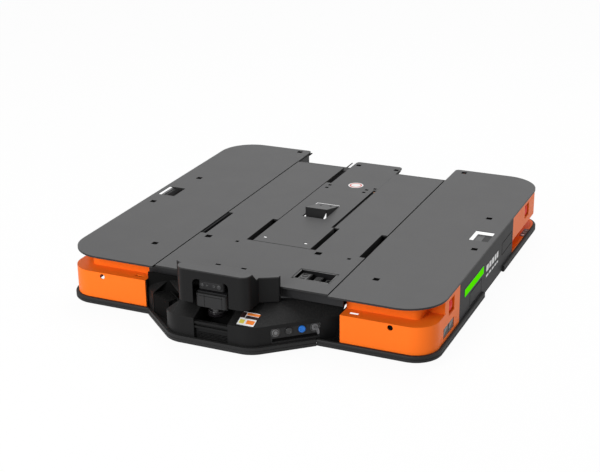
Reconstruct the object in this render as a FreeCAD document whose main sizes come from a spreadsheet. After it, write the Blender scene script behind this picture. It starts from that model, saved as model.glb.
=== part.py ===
import FreeCAD, Part
import os
import re
import Sketcher
from FreeCAD import Placement, Rotation, Vector

# Low autonomous mobile robot: a flat load deck on a tube frame, orange corner covers with scanner
# slots, a wedge nose that carries a safety scanner and a depth camera under a hood, two driven
# wheels on the centre line and four swivel casters. Millimetres, +Z up, front towards -Y, origin
# on the floor under the middle of the overall length and width.

doc = FreeCAD.newDocument("MobileRobot")
sheet = doc.addObject("Spreadsheet::Sheet", "Sizes")

SIZES = [
    # overall form
    ("deck_width", 1276), ("deck_length", 1278), ("deck_height", 200), ("deck_sheet", 6),
    ("deck_round", 128), ("corner_radius", 88), ("rear_corner", 15), ("seam_x", 300), ("seam_gap", 3),
    ("nose_reach", 139), ("nose_shift", 30), ("fit_gap", 0.3), ("run_gap", 0.1),
    # deck cut-outs: set from an end of the deck, or from its middle
    ("plate_set", 12), ("strip_set", 142), ("spine_set", 57), ("strip_inner", 105), ("spine_half", 102),
    ("fork_y", 318), ("slot_rear", 110), ("slot_wide", 20), ("flange", 20), ("flange_sheet", 3),
    ("square_hole", 20), ("window_near", 556), ("window_far", 622), ("window_front", 38),
    ("window_rear", 50), ("pocket_left", 143), ("pocket_right", 273), ("pocket_set", 7),
    ("pocket_long", 79), ("hatch_half", 42), ("hatch_front", 46), ("hatch_rear", 92),
    # outer skin
    ("ground_gap", 27), ("bumper_height", 22), ("groove_tall", 2.5), ("groove_deep", 1.5),
    ("face_inset", 10), ("cover_wall", 4), ("cover_start", 337), ("cover_low", 32), ("shelf_drop", 60),
    ("slot_depth", 55), ("front_arm", 273), ("block_arm", 149), ("rear_arm", 363),
    ("rear_slot_low", 52), ("rear_slot_high", 94), ("peep_x", 498), ("peep_drop", 73),
    ("peep_radius", 9), ("eye_set", 166), ("eye_half", 52), ("eye_low", 61), ("eye_high", 95),
    ("panel_sheet", 3), ("panel_drop", 10), ("skirt_front", 99), ("skirt_rear", 137),
    ("bar_set", 52), ("bar_long", 208), ("bar_low", 113), ("bar_high", 138), ("bar_deep", 8),
    ("rear_top", 140),
    # tube frame
    ("tube", 40), ("tube_wall", 3), ("frame_set", 39),
    # nose
    ("nose_half", 134), ("wing_half", 352), ("nose_rim", 112), ("rim_front", 118), ("rim_flat", 22),
    ("wing_front", 64), ("wing_rear", 92), ("nose_low", 40), ("nose_wall", 4), ("nose_round", 80),
    ("mouth_half", 58),
    # sensor hood
    ("hood_shift", 3), ("hood_half", 123), ("hood_set", 18), ("hood_top", 266), ("hood_step", 238),
    ("cap_sheet", 4), ("hood_wall", 4), ("hood_round", 28), ("hood_side", 77), ("ear_out", 53),
    ("ear_back", 30), ("ear_tip", 13), ("view_shift", 6), ("view_half", 61), ("view_top", 237),
    ("view_round", 16), ("crown_flat", 34),
    # scanner and camera under the hood
    ("eyes_shift", 11), ("eyes_set", 14), ("scan_wide", 106), ("scan_deep", 78), ("scan_set", 10),
    ("scan_low", 143), ("scan_top", 186), ("dome_radius", 30), ("dome_tall", 40),
    # stop buttons
    ("stop_set", 190), ("stop_back", 175), ("stop_z", 144), ("cup_half", 28), ("cup_deep", 22),
    ("stop_radius", 20), ("stop_stem", 9),
    # bay on the left slope of the nose and control strip on the right one
    ("bay_start", 46), ("bay_end", 177), ("bay_deep", 56), ("strip_middle", 142), ("strip_drop", 100),
    ("strip_long", 158), ("strip_tall", 50), ("strip_deep", 12), ("key_pitch", 42), ("push_radius", 11),
    # running gear
    ("wheel_radius", 80), ("wheel_width", 50), ("wheel_x", 520), ("tyre_thick", 14), ("shaft_radius", 10),
    ("motor_radius", 42), ("motor_long", 110), ("gear_radius", 48), ("gear_long", 42),
    ("bracket_plate", 8), ("caster_x", 480), ("caster_radius", 50), ("caster_width", 32),
    ("caster_trail", 32), ("caster_plate", 6), ("fork_sheet", 4), ("fork_gap", 3), ("axle_radius", 6),
    # inside
    ("battery_half", 190), ("battery_set", 180), ("battery_long", 290), ("battery_low", 50),
    ("battery_tall", 88), ("tray_sheet", 3), ("box_set", 90), ("box_wide", 190), ("box_long", 240),
    ("box_tall", 80),
    # latch flap
    ("flap_rise", 26), ("flap_sheet", 3), ("flap_gap", 2), ("flap_pin", 3),
]
for row, (alias, size) in enumerate(SIZES, 1):
    sheet.set(f"A{row}", alias)
    sheet.set(f"B{row}", str(size))
    sheet.setAlias(f"B{row}", alias)
doc.recompute()

# lengths that follow from the driving sizes
RULES = {
    "deck_y": "nose_reach / 2",
    "half_width": "deck_width / 2",
    "half_length": "deck_length / 2",
    "deck_under": "deck_height - deck_sheet",
    "face_x": "half_width - face_inset",
    "face_y": "half_length - face_inset",
    "face_round": "corner_radius - face_inset",
    "cover_arm": "slot_depth + cover_wall + 1",
    "shelf": "deck_height - shelf_drop",
    "front_end": "face_y - front_arm",
    "eye_y": "face_y - eye_set",
    "stop_front": "face_y - stop_set",
    "stop_rear": "face_y - stop_back",
    "bar_front": "front_end - bar_set",
    "bar_rear": "bar_front - bar_long",
    "plate_front": "half_length - plate_set",
    "strip_end": "half_length - strip_set",
    "spine_end": "half_length - spine_set",
    "rail_end": "half_length - frame_set",
    "rail_x": "cover_start - fit_gap - tube / 2",
    "rail_inner": "rail_x - tube / 2",
    "rail_outer": "rail_x + tube / 2",
    "rigger_y": "front_end + cover_wall + tube / 2",
    "pocket_front": "rail_end - tube - pocket_set",
    "pocket_rear": "pocket_front - pocket_long",
    "battery_front": "rail_end - battery_set",
    "battery_rear": "battery_front - battery_long",
    "bumper_top": "ground_gap + bumper_height",
    "nose_y": "deck_y - half_length - nose_reach",
    "nose_face": "nose_y + face_inset",
    "hood_face": "nose_face + hood_set",
    "tube_low": "deck_under - tube",
    "plate_low": "tube_low - caster_plate",
    "rear_rim": "tube_low + 2",
    "wing_rim": "tube_low - 6",
    "strip_edge": "seam_x - seam_gap",
    "slope_run": "wing_half - nose_half",
    "slope_rise": "nose_reach - face_inset + wing_front",
    "slope_long": "sqrt(slope_run ^ 2 + slope_rise ^ 2)",
    "slope_cos": "slope_run / slope_long",
    "slope_sin": "slope_rise / slope_long",
    "hood_neck": "hood_face + hood_side",
    "hood_rear": "hood_neck + ear_back + ear_tip",
    "wheel_y": "deck_y",
    "eyes_y": "hood_face + eyes_set",
    "dome_y": "hood_face + scan_set + scan_deep / 2 + 3",
    "bumper_corner": "nose_half + face_inset * (1 - slope_cos) / slope_sin",
    "bumper_turn": "bumper_corner + nose_reach * slope_run / slope_rise",
    "groove_low": "ground_gap + bumper_height / 2 - groove_tall / 2",
}
KNOWN = {alias for alias, size in SIZES}
WORD = re.compile(r"[a-z][a-z_0-9]*")
PLANES = {"x": "YZ_Plane", "y": "XZ_Plane", "z": "XY_Plane"}
TURNS = {"x": Rotation(Vector(0, 1, 0), 90), "y": Rotation(Vector(1, 0, 0), -90), "z": Rotation()}
NODES = []


def ex(text):
    """The expression that FreeCAD reads: sizes get the sheet's name, rules are written out."""
    def written(found):
        word = found.group(0)
        if word in RULES:
            return "(" + ex(RULES[word]) + ")"
        return "Sizes." + word if word in KNOWN else word
    return WORD.sub(written, str(text))


def value(text):
    return float(sheet.evalExpression(ex(text)))


def node(thing, label):
    thing.Label = label
    if thing.Label != label:
        raise RuntimeError(f"the name {label} is taken")
    NODES.append(thing)
    return thing


# ---- sketches, pads and pockets -------------------------------------------------------------

def new_body(label):
    body = doc.addObject("PartDesign::Body", "Body")
    body.Label = label
    return body


def new_sketch(body, plane, level):
    sketch = body.newObject("Sketcher::SketchObject", "Sketch")
    role = PLANES[plane]
    support = next(o for o in body.Origin.OriginFeatures if o.Role == role)
    sketch.AttachmentSupport = [(support, "")]
    sketch.MapMode = "FlatFace"
    sketch.setExpression("AttachmentOffset.Base.z", ex(f"-({level})" if plane == "y" else level))
    return sketch


def place_point(sketch, curve, end, x, y, at):
    index = sketch.addConstraint(Sketcher.Constraint("DistanceX", -1, 1, curve, end, at.x))
    sketch.setExpression(f"Constraints[{index}]", ex(x))
    index = sketch.addConstraint(Sketcher.Constraint("DistanceY", -1, 1, curve, end, at.y))
    sketch.setExpression(f"Constraints[{index}]", ex(y))


def draw_outline(sketch, points):
    """A closed outline; every corner is tied to the sheet."""
    spots = [Vector(value(x), value(y), 0) for x, y in points]
    first = sketch.GeometryCount
    count = len(spots)
    for index in range(count):
        sketch.addGeometry(Part.LineSegment(spots[index], spots[(index + 1) % count]), False)
    for index in range(count):
        following = first + (index + 1) % count
        sketch.addConstraint(Sketcher.Constraint("Coincident", first + index, 2, following, 1))
    for index, (x, y) in enumerate(points):
        place_point(sketch, first + index, 1, x, y, spots[index])


def draw_circles(sketch, centres, radius):
    for x, y in centres:
        spot = Vector(value(x), value(y), 0)
        curve = sketch.addGeometry(Part.Circle(spot, Vector(0, 0, 1), value(radius)), False)
        place_point(sketch, curve, 3, x, y, spot)
        index = sketch.addConstraint(Sketcher.Constraint("Radius", curve, value(radius)))
        sketch.setExpression(f"Constraints[{index}]", ex(radius))


def pad(body, plane, low, high, outlines=(), circles=(), radius=None):
    sketch = new_sketch(body, plane, high if plane == "y" else low)
    for points in outlines:
        draw_outline(sketch, points)
    if circles:
        draw_circles(sketch, circles, radius)
    feature = body.newObject("PartDesign::Pad", "Pad")
    feature.Profile = sketch
    feature.setExpression("Length", ex(f"({high}) - ({low})"))
    doc.recompute()
    return feature


def pocket(body, plane, low, high, outlines=(), circles=(), radius=None):
    before = body.Shape.Volume
    sketch = new_sketch(body, plane, low if plane == "y" else high)
    for points in outlines:
        draw_outline(sketch, points)
    if circles:
        draw_circles(sketch, circles, radius)
    feature = body.newObject("PartDesign::Pocket", "Pocket")
    feature.Profile = sketch
    feature.setExpression("Length", ex(f"({high}) - ({low})"))
    doc.recompute()
    if body.Shape.Volume > before - 0.01:
        raise RuntimeError(f"{body.Label}: a pocket cuts nothing")
    return feature


def revolve(body, points):
    """A turned form about the body's own Z axis from (radius, height) corners."""
    sketch = new_sketch(body, "y", "0")
    draw_outline(sketch, points)
    feature = body.newObject("PartDesign::Revolution", "Turned")
    feature.Profile = sketch
    feature.ReferenceAxis = (sketch, ["V_Axis"])
    feature.Angle = 360
    doc.recompute()
    return feature


def round_edges(body, radius, wanted):
    """Fillets the edges of the body's last feature for which wanted(edge) holds."""
    doc.recompute()
    tip = body.Tip
    names = [f"Edge{n}" for n, edge in enumerate(tip.Shape.Edges, 1) if wanted(edge)]
    if not names:
        raise RuntimeError(f"{body.Label}: no edge to round")
    feature = body.newObject("PartDesign::Fillet", "Fillet")
    feature.Base = (tip, names)
    feature.setExpression("Radius", ex(radius))
    doc.recompute()
    return feature


def along(axis, *spots):
    """Tells straight edges along an axis that pass near one of the spots on the other two axes."""
    others = [n for n in range(3) if "xyz"[n] != axis]
    marks = [(value(a), value(b)) for a, b in spots]

    def test(edge):
        if edge.Curve.TypeId != "Part::GeomLine":
            return False
        start, end = edge.Vertexes[0].Point, edge.Vertexes[-1].Point
        flat = all(abs(start[n] - end[n]) < 0.01 for n in others)
        return flat and any(abs(start[others[0]] - a) < 0.5 and abs(start[others[1]] - b) < 0.5
                            for a, b in marks)
    return test


def box_points(left, right, low, high):
    return [(left, low), (right, low), (right, high), (left, high)]


def both_sides(points):
    """The outline and its mirror image in x, joined into one closed outline."""
    return points + [(f"-({x})", y) for x, y in reversed(points)]


# ---- primitives and booleans ------------------------------------------------------------------

def block(label, x, y, z):
    """A box between pairs of expressions."""
    thing = doc.addObject("Part::Box", "Box")
    thing.Label = label
    for prop, axis, (low, high) in zip(("Length", "Width", "Height"), "xyz", (x, y, z)):
        thing.setExpression(prop, ex(f"({high}) - ({low})"))
        thing.setExpression(f"Placement.Base.{axis}", ex(low))
    return thing


def rod(label, axis, start, length, radius):
    """A cylinder from its start point along +axis."""
    thing = doc.addObject("Part::Cylinder", "Rod")
    thing.Label = label
    thing.Placement = Placement(Vector(), TURNS[axis])
    thing.setExpression("Radius", ex(radius))
    thing.setExpression("Height", ex(length))
    for name, text in zip("xyz", start):
        thing.setExpression(f"Placement.Base.{name}", ex(text))
    return thing


def cut(label, base, *tools):
    tool = tools[0] if len(tools) == 1 else fuse(label + "_tools", *tools)
    thing = doc.addObject("Part::Cut", "Cut")
    thing.Label = label
    thing.Base = base
    thing.Tool = tool
    return thing


def fuse(label, *parts):
    thing = doc.addObject("Part::MultiFuse", "Fused")
    thing.Label = label
    thing.Shapes = list(parts)
    return thing


def common(label, *parts):
    thing = doc.addObject("Part::MultiCommon", "Common")
    thing.Label = label
    thing.Shapes = list(parts)
    return thing


def group(label, *parts):
    """Separate solids that share one node."""
    thing = doc.addObject("Part::Compound", "Group")
    thing.Label = label
    thing.Links = list(parts)
    return thing


def mirror(label, source, axis="x"):
    thing = doc.addObject("Part::Mirroring", "Mirror")
    thing.Label = label
    thing.Source = source
    thing.Normal = Vector(1, 0, 0) if axis == "x" else Vector(0, 1, 0)
    if axis == "y":
        thing.setExpression("Base.y", ex("deck_y"))
    return thing


def tube_along_y(label, left, front, rear):
    outer = block(label + "_outside", (left, f"{left} + tube"), (front, rear), ("tube_low", "deck_under"))
    inner = block(label + "_bore", (f"{left} + tube_wall", f"{left} + tube - tube_wall"),
                  (f"{front} - 1", f"{rear} + 1"), ("tube_low + tube_wall", "deck_under - tube_wall"))
    return cut(label, outer, inner)


def tube_along_x(label, left, right, front):
    outer = block(label + "_outside", (left, right), (front, f"{front} + tube"), ("tube_low", "deck_under"))
    inner = block(label + "_bore", (f"{left} - 1", f"{right} + 1"),
                  (f"{front} + tube_wall", f"{front} + tube - tube_wall"),
                  ("tube_low + tube_wall", "deck_under - tube_wall"))
    return cut(label, outer, inner)


# ---- load deck ----------------------------------------------------------------------------------

def square(x, y, size):
    half = f"({size}) / 2"
    return box_points(f"{x} - {half}", f"{x} + {half}", f"deck_y + {y} - {half}", f"deck_y + {y} + {half}")


def side_deck():
    body = new_body("side_deck")
    inner, outer = "seam_x + seam_gap / 2", "half_width"
    front, rear = "deck_y - half_length", "deck_y + half_length"
    pad(body, "z", "deck_under", "deck_height", [box_points(inner, outer, front, rear)])
    round_edges(body, "deck_round", along("z", (outer, front), (outer, rear)))
    round_edges(body, "rear_corner", along("z", (inner, rear)))
    holes = [("seam_x + 41", "half_length - 29"), ("half_width - 73", "176"), ("half_width - 39", "-113"),
             ("seam_x + 91", "175 - half_length")]
    window = box_points("window_near", "window_far", "deck_y - window_front", "deck_y + window_rear")
    pocket(body, "z", "deck_under", "deck_height",
           [window] + [square(x, y, "square_hole") for x, y in holes])
    return body


def centre_plate():
    body = new_body("centre_plate")
    fork, end = "deck_y - fork_y", "deck_y + strip_end"
    half = [("strip_edge", "deck_y - plate_front"), ("strip_edge", fork),
            ("strip_edge - slot_wide", fork), ("strip_edge - slot_wide", "deck_y - slot_rear"),
            ("strip_edge", "deck_y - slot_rear"), ("strip_edge", end), ("strip_inner", end),
            ("strip_inner", "deck_y - slot_rear"), ("strip_inner + slot_wide", "deck_y - slot_rear"),
            ("strip_inner + slot_wide", fork)]
    pad(body, "z", "deck_under", "deck_height", [both_sides(half)])
    pocket(body, "z", "deck_under", "deck_height",
           [box_points("pocket_left", "pocket_right", "deck_y - pocket_front", "deck_y - pocket_rear")]
           + [square("-114", "89 - half_length", "18"), square("-23", "89 - half_length", "18"),
              square("-256", "-fork_y - 22", "22"), square("144", "-fork_y - 22", "22"),
              square("-146", "-fork_y - 27", "12"), square("253", "-fork_y - 27", "12")])
    # turned-down edges along the slots
    for near in ("strip_inner + slot_wide", "strip_edge - slot_wide - flange_sheet"):
        edge = box_points(near, f"{near} + flange_sheet", fork, "deck_y - slot_rear")
        pad(body, "z", "deck_under - flange", "deck_under", [edge])
        pad(body, "z", "deck_under - flange", "deck_under", [[(f"-({x})", y) for x, y in edge]])
    return body


def spine_cover():
    body = new_body("spine_cover")
    front, rear = "deck_y - fork_y + 3", "deck_y + spine_end"
    left, right = "-spine_half", "strip_inner - fit_gap"
    narrow = "deck_y + 313"
    points = [(left, front), (right, front), (right, "deck_y - slot_rear"),
              ("spine_half - 8", "deck_y - slot_rear"), ("spine_half - 8", "deck_y + 295"),
              (right, "deck_y + 295"), (right, rear), ("20 - spine_half", rear),
              ("20 - spine_half", narrow), (left, narrow)]
    pad(body, "z", "deck_under", "deck_height", [points])
    round_edges(body, "rear_corner", along("z", (right, rear), ("20 - spine_half", rear)))
    hatch = box_points("-hatch_half", "hatch_half", "deck_y - hatch_front", "deck_y + hatch_rear")
    small = [square(x, y, "12") for x, y in (("-78", "290"), ("-78", "261"), ("68", "290"), ("68", "261"),
                                             ("93", "311"), ("-77", "-273"), ("71", "-275"))]
    pocket(body, "z", "deck_under", "deck_height",
           [hatch, square("-62", "543", "18"), square("92", "543", "18")] + small)
    # turned-down edges along the slots, and ears that hold the flap's pin
    for side, start, end in ((left, "5 - fork_y", "290"),
                             (f"{right} - flange_sheet", "5 - fork_y", "-slot_rear"),
                             ("spine_half - 8 - flange_sheet", "-slot_rear", "290")):
        pad(body, "z", "deck_under - flange", "deck_under",
            [box_points(side, f"{side} + flange_sheet", f"deck_y + {start}", f"deck_y + {end}")])
    for side in ("-hatch_half - 6", "hatch_half"):
        pad(body, "z", "deck_under - 16", "deck_under",
            [box_points(side, f"{side} + 6", "deck_y + hatch_rear - 20", "deck_y + hatch_rear")])
    pocket(body, "x", "-hatch_half - 7", "hatch_half + 7",
           circles=[("deck_y + hatch_rear - 9", "deck_under - 8")], radius="flap_pin + run_gap")
    return body


def latch_flap():
    """A sheet wedge on a pin: a ramp with side skirts and a tapered front face."""
    hinge_y, hinge_z = "deck_y + hatch_rear - 9", "deck_under - 8"
    front, rear = "deck_y - hatch_front + 24", "deck_y + hatch_rear - 2"
    side = "hatch_half - flap_gap"
    top_front, top_rear = "deck_height + flap_rise", "deck_height"
    body = new_body("flap_sheet")
    profile = [(front, "deck_height - 22"), (front, top_front), (rear, top_rear),
               (rear, f"{top_rear} - 6"), ("deck_y + hatch_rear - 24", "deck_height - 22")]
    pad(body, "x", f"-({side})", side, [profile])
    inside = [(f"{front} + flap_sheet", "deck_height - 30"),
              (f"{front} + flap_sheet", f"{top_front} - flap_sheet - 1"),
              (f"{rear} + 4", f"{top_rear} - flap_sheet - 1"), (f"{rear} + 4", "deck_height - 30")]
    pocket(body, "x", f"flap_sheet - ({side})", f"{side} - flap_sheet", [inside])
    wedge = [(f"-({side}) - 1", "deck_height - 30"), (f"-({side}) + 3", "deck_height - 30"),
             (f"-({side}) - 1", f"{top_front} - 8")]
    corner = [("hatch_half", "deck_height - 30"), ("hatch_half", f"{top_front} - 2"),
              (f"{side} - 22", "deck_height - 30")]
    pocket(body, "y", f"{front} - 1", f"{front} + flap_sheet", [wedge])
    pocket(body, "y", f"{front} - 1", f"{front} + flap_sheet", [corner])
    pin = rod("flap_pin", "x", ("-hatch_half - 6", hinge_y, hinge_z), "2 * hatch_half + 12", "flap_pin")
    barrel = rod("flap_barrel", "x", (f"-({side})", hinge_y, hinge_z), f"2 * ({side})", "flap_pin + 2.5")
    return fuse("latch_flap", body, barrel, pin)


def io_tray():
    left, right = "pocket_left + fit_gap", "pocket_right - fit_gap"
    front, rear = "deck_y - pocket_front + fit_gap", "deck_y - pocket_rear - fit_gap"
    outer = block("tray_outside", (left, right), (front, rear), ("deck_height - 34", "deck_height - 1"))
    inner = block("tray_hollow", (f"{left} + 2", f"{right} - 2"), (f"{front} + 2", f"{rear} - 2"),
                  ("deck_height - 32", "deck_height"))
    return cut("io_tray", outer, inner)


def io_connectors():
    """Sockets that stand on the tray's floor."""
    floor, y = "deck_height - 32", "deck_y - pocket_rear"
    cover = block("socket_cover", ("pocket_left + 12", "pocket_left + 46"), (f"{y} - 70", f"{y} - 12"),
                  (floor, "deck_height - 8"))
    plug = block("plug_body", ("pocket_left + 62", "pocket_left + 84"), (f"{y} - 66", f"{y} - 16"),
                 (floor, "deck_height - 12"))
    twin = block("twin_socket", ("pocket_right - 34", "pocket_right - 10"), (f"{y} - 62", f"{y} - 18"),
                 (floor, "deck_height - 16"))
    slot = block("twin_mouth", ("pocket_right - 29", "pocket_right - 15"), (f"{y} - 56", f"{y} - 24"),
                 ("deck_height - 24", "deck_height"))
    return group("io_connectors", cover, plug, cut("twin", twin, slot))


deck = side_deck()
node(deck, "deck_plate_right")
node(mirror("mirror", deck), "deck_plate_left")
node(centre_plate(), "centre_plate")
node(spine_cover(), "spine_cover")
node(latch_flap(), "latch_flap")
node(io_tray(), "io_tray")
node(io_connectors(), "io_connectors")


# ---- tube frame -----------------------------------------------------------------------------------

rail = tube_along_y("rail", "rail_inner", "deck_y - rail_end + tube", "deck_y + rail_end")
node(group("frame_rails", rail, mirror("rail_left", rail)), "frame_rails")


def cross_members():
    """Tubes between and outside the rails, and the angles that carry the side panels."""
    parts = [tube_along_x("cross_front", "-rail_outer", "rail_outer", "deck_y - rail_end"),
             tube_along_x("cross_rear", "-rail_inner", "rail_inner", "deck_y + rail_end - 3 * tube")]
    for n, middle in enumerate(("deck_y - rigger_y", "deck_y + rigger_y")):
        rigger = tube_along_x(f"rigger_{n}", "rail_outer", "face_x - cover_wall", f"{middle} - tube / 2")
        parts += [rigger, mirror(f"rigger_left_{n}", rigger)]
    panel_back = "face_x - panel_sheet"
    body = new_body("side_angle")
    angle = [(panel_back, "deck_under"), (f"{panel_back} - 30", "deck_under"),
             (f"{panel_back} - 30", "deck_under - 3"), (f"{panel_back} - 3", "deck_under - 3"),
             (f"{panel_back} - 3", "deck_under - 34"), (panel_back, "deck_under - 34")]
    pad(body, "y", "deck_y - front_end", "deck_y + face_y - rear_arm", [angle])
    parts += [body, mirror("side_angle_left", body)]
    return group("cross_members", *parts)


node(cross_members(), "cross_members")


# ---- corner covers and side skin ------------------------------------------------------------------

def corner_block(label, end, outer, inner, arm, low, high, start="cover_start"):
    """An L round the right front (end -1) or right rear (end 1) corner, between two offsets."""
    def x_at(offset):
        return f"face_x - ({offset})"

    def y_at(offset):
        return f"deck_y + {end} * (face_y - ({offset}))"

    body = new_body(label)
    points = [(start, y_at(outer)), (x_at(outer), y_at(outer)), (x_at(outer), y_at(arm)),
              (x_at(inner), y_at(arm)), (x_at(inner), y_at(inner)), (start, y_at(inner))]
    pad(body, "z", low, high, [points])
    round_edges(body, f"face_round - ({outer})", along("z", (x_at(outer), y_at(outer))))
    round_edges(body, f"face_round - ({inner})", along("z", (x_at(inner), y_at(inner))))
    return body


def side_window(label, middle, half, low, high):
    return block(label, ("face_x - cover_wall - 1", "face_x + 1"),
                 (f"{middle} - {half}", f"{middle} + {half}"), (low, high))


def front_cover():
    """Lower shell with a shelf, a set-back wall above it, and a full-height block at the side."""
    shell = corner_block("front_shell", -1, "0", "cover_arm", "front_arm", "cover_low", "deck_under")
    recess = corner_block("front_recess", -1, "-5", "slot_depth", "front_arm - block_arm", "shelf",
                          "deck_under + 1", "cover_start - 1")
    hollow = corner_block("front_hollow", -1, "cover_wall", "cover_arm + 5", "front_arm - cover_wall",
                          "cover_low - 1", "shelf - cover_wall", "cover_start + cover_wall")
    far, near = "deck_y - front_end - cover_wall", "deck_y - front_end - block_arm + cover_wall"
    room = block("block_hollow", ("face_x - cover_arm - 5", "face_x - cover_wall"), (near, far),
                 ("cover_low - 1", "deck_under + 1"))
    peep = rod("peep_hole", "y", ("peep_x", "deck_y - face_y - 1", "deck_height - peep_drop"),
               "cover_wall + 2", "peep_radius")
    slot = block("shelf_slot", ("cover_start + 22", "cover_start + 50"),
                 ("deck_y - face_y + 22", "deck_y - face_y + 32"), ("shelf - cover_wall - 1", "shelf + 1"))
    eye = side_window("eye_window", "deck_y - eye_y", "eye_half", "eye_low", "eye_high")
    stop = side_window("front_stop_window", "deck_y - stop_front", "cup_half", "stop_z - 26", "stop_z + 26")
    return cut("front_cover", shell, recess, hollow, room, peep, slot, eye, stop)


def rear_cover():
    """A shell with a slot all round the corner below its upper band."""
    shell = corner_block("rear_shell", 1, "0", "cover_arm", "rear_arm", "cover_low", "deck_under")
    slot = corner_block("rear_slot", 1, "-5", "slot_depth", "rear_arm + 1", "rear_slot_low",
                        "rear_slot_high", "cover_start - 1")
    low = corner_block("rear_low_hollow", 1, "cover_wall", "cover_arm + 5", "rear_arm - cover_wall",
                       "cover_low - 1", "rear_slot_low - cover_wall", "cover_start + cover_wall")
    high = corner_block("rear_high_hollow", 1, "cover_wall", "cover_arm + 5", "rear_arm - cover_wall",
                        "rear_slot_high + cover_wall", "deck_under + 1", "cover_start + cover_wall")
    stop = side_window("rear_stop_window", "deck_y + stop_rear", "cup_half", "stop_z - 26", "stop_z + 26")
    return cut("rear_cover", shell, slot, low, high, stop)


def side_panel():
    """A folded sheet between the corner covers, with the window of the status bar."""
    front, rear = "deck_y - face_y + front_arm + fit_gap", "deck_y + face_y - rear_arm - fit_gap"
    body = new_body("side_panel")
    top = "deck_height - panel_drop"
    pad(body, "x", "face_x - panel_sheet", "face_x", [box_points(front, rear, "cover_low - 2", top)])
    pad(body, "z", "cover_low - 2", "cover_low - 2 + panel_sheet",
        [box_points("face_x - 24", "face_x", front, rear)])
    bar = box_points("deck_y - bar_front", "deck_y - bar_rear", "bar_low", "bar_high")
    pocket(body, "x", "face_x - panel_sheet", "face_x", [bar])
    seam = box_points("deck_y - 262", "deck_y + 105", "40", "105")
    inside = box_points("deck_y - 260", "deck_y + 103", "42", "103")
    pocket(body, "x", "face_x - 1", "face_x", [seam, inside])
    return body


def status_bar():
    body = new_body("status_bar")
    outline = box_points("deck_y - bar_front + fit_gap", "deck_y - bar_rear - fit_gap",
                         "bar_low + fit_gap", "bar_high - fit_gap")
    pad(body, "x", "face_x - bar_deep", "face_x + 1", [outline])
    return body


def sensor_window():
    """A dark window that fills the eye opening of a front cover."""
    middle = "deck_y - eye_y"
    return block("eye", ("face_x - 8", "face_x - 1.5"),
                 (f"{middle} - eye_half + fit_gap", f"{middle} + eye_half - fit_gap"),
                 ("eye_low + fit_gap", "eye_high - fit_gap"))


def rear_panel():
    body = new_body("rear_panel")
    half = "cover_start - fit_gap"
    rear = "deck_y + face_y"
    pad(body, "y", f"{rear} - panel_sheet", rear, [box_points(f"-({half})", half, "cover_low", "rear_top")])
    pad(body, "z", "rear_top - panel_sheet", "rear_top",
        [box_points(f"-({half})", half, f"{rear} - 40", rear)])
    pocket(body, "y", f"{rear} - panel_sheet - 1", rear, [box_points("-70", "70", "62", "96")])
    return body


def charge_contacts():
    """Two sprung copper strips in an insulating block behind the rear panel's opening."""
    rear = "deck_y + face_y"
    base = block("contact_base", ("-69.7", "69.7"), (f"{rear} - 20", f"{rear} - 1"), ("62.3", "95.7"))
    room = block("contact_room", ("-64", "64"), (f"{rear} - 8", rear), ("66", "92"))
    strips = [block(f"contact_{n}", ("-58", "58"), (f"{rear} - 8", f"{rear} - 3"), (low, f"{low} + 7"))
              for n, low in enumerate(("69", "82"))]
    return group("charge_contacts", cut("contact_tray", base, room), *strips)


front_right, rear_right, panel_right = front_cover(), rear_cover(), side_panel()
bar_right, eye_right = status_bar(), sensor_window()
node(front_right, "corner_cover_front_right")
node(mirror("mirror", front_right), "corner_cover_front_left")
node(rear_right, "corner_cover_rear_right")
node(mirror("mirror", rear_right), "corner_cover_rear_left")
node(panel_right, "side_panel_right")
node(mirror("mirror", panel_right), "side_panel_left")
node(group("bars", bar_right, mirror("mirror", bar_right)), "status_bars")
node(group("eyes", eye_right, mirror("mirror", eye_right)), "sensor_windows")
node(rear_panel(), "rear_panel")
node(charge_contacts(), "charge_contacts")


# ---- bumper strips --------------------------------------------------------------------------------

def on_rim(outside):
    """Tells the top and bottom edges of a bumper whose middle lies outside the skin behind it."""
    levels = (value("ground_gap"), value("bumper_top"))

    def test(edge):
        box = edge.BoundBox
        level = any(abs(box.ZMin - z) < 0.01 and abs(box.ZMax - z) < 0.01 for z in levels)
        middle = edge.valueAt((edge.FirstParameter + edge.LastParameter) / 2)
        return level and outside(middle)
    return test


def beyond_face(middle):
    margin = value("face_inset") / 2
    return (abs(middle.x) > value("face_x") + margin or abs(middle.y - value("deck_y")) >
            value("face_y") + margin or abs(middle.x) + abs(middle.y - value("deck_y")) >
            value("face_x + face_y - face_round * 0.586 + face_inset * 0.7"))


def grooved(body, groove, *others):
    """The line moulded round the middle of a bumper."""
    return cut("grooved_bumper", body, groove, *others)


def corner_groove(end, start, arm):
    return corner_block("groove", end, "-face_inset - 2", "groove_deep - face_inset", arm, "groove_low",
                        "groove_low + groove_tall", start)


def front_bumper(start):
    body = new_body("front_bumper")
    front, side = "deck_y - half_length", "deck_y - skirt_front"
    points = [(start, front), ("half_width", front), ("half_width", side), ("face_x", side),
              ("face_x", "deck_y - face_y"), (start, "deck_y - face_y")]
    pad(body, "z", "ground_gap", "bumper_top", [points])
    round_edges(body, "corner_radius", along("z", ("half_width", front)))
    round_edges(body, "face_round", along("z", ("face_x", "deck_y - face_y")))
    round_edges(body, "bumper_height / 5", on_rim(beyond_face))
    return grooved(body, corner_groove(-1, f"{start} - 1", "face_y - skirt_front + 1"))


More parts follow.
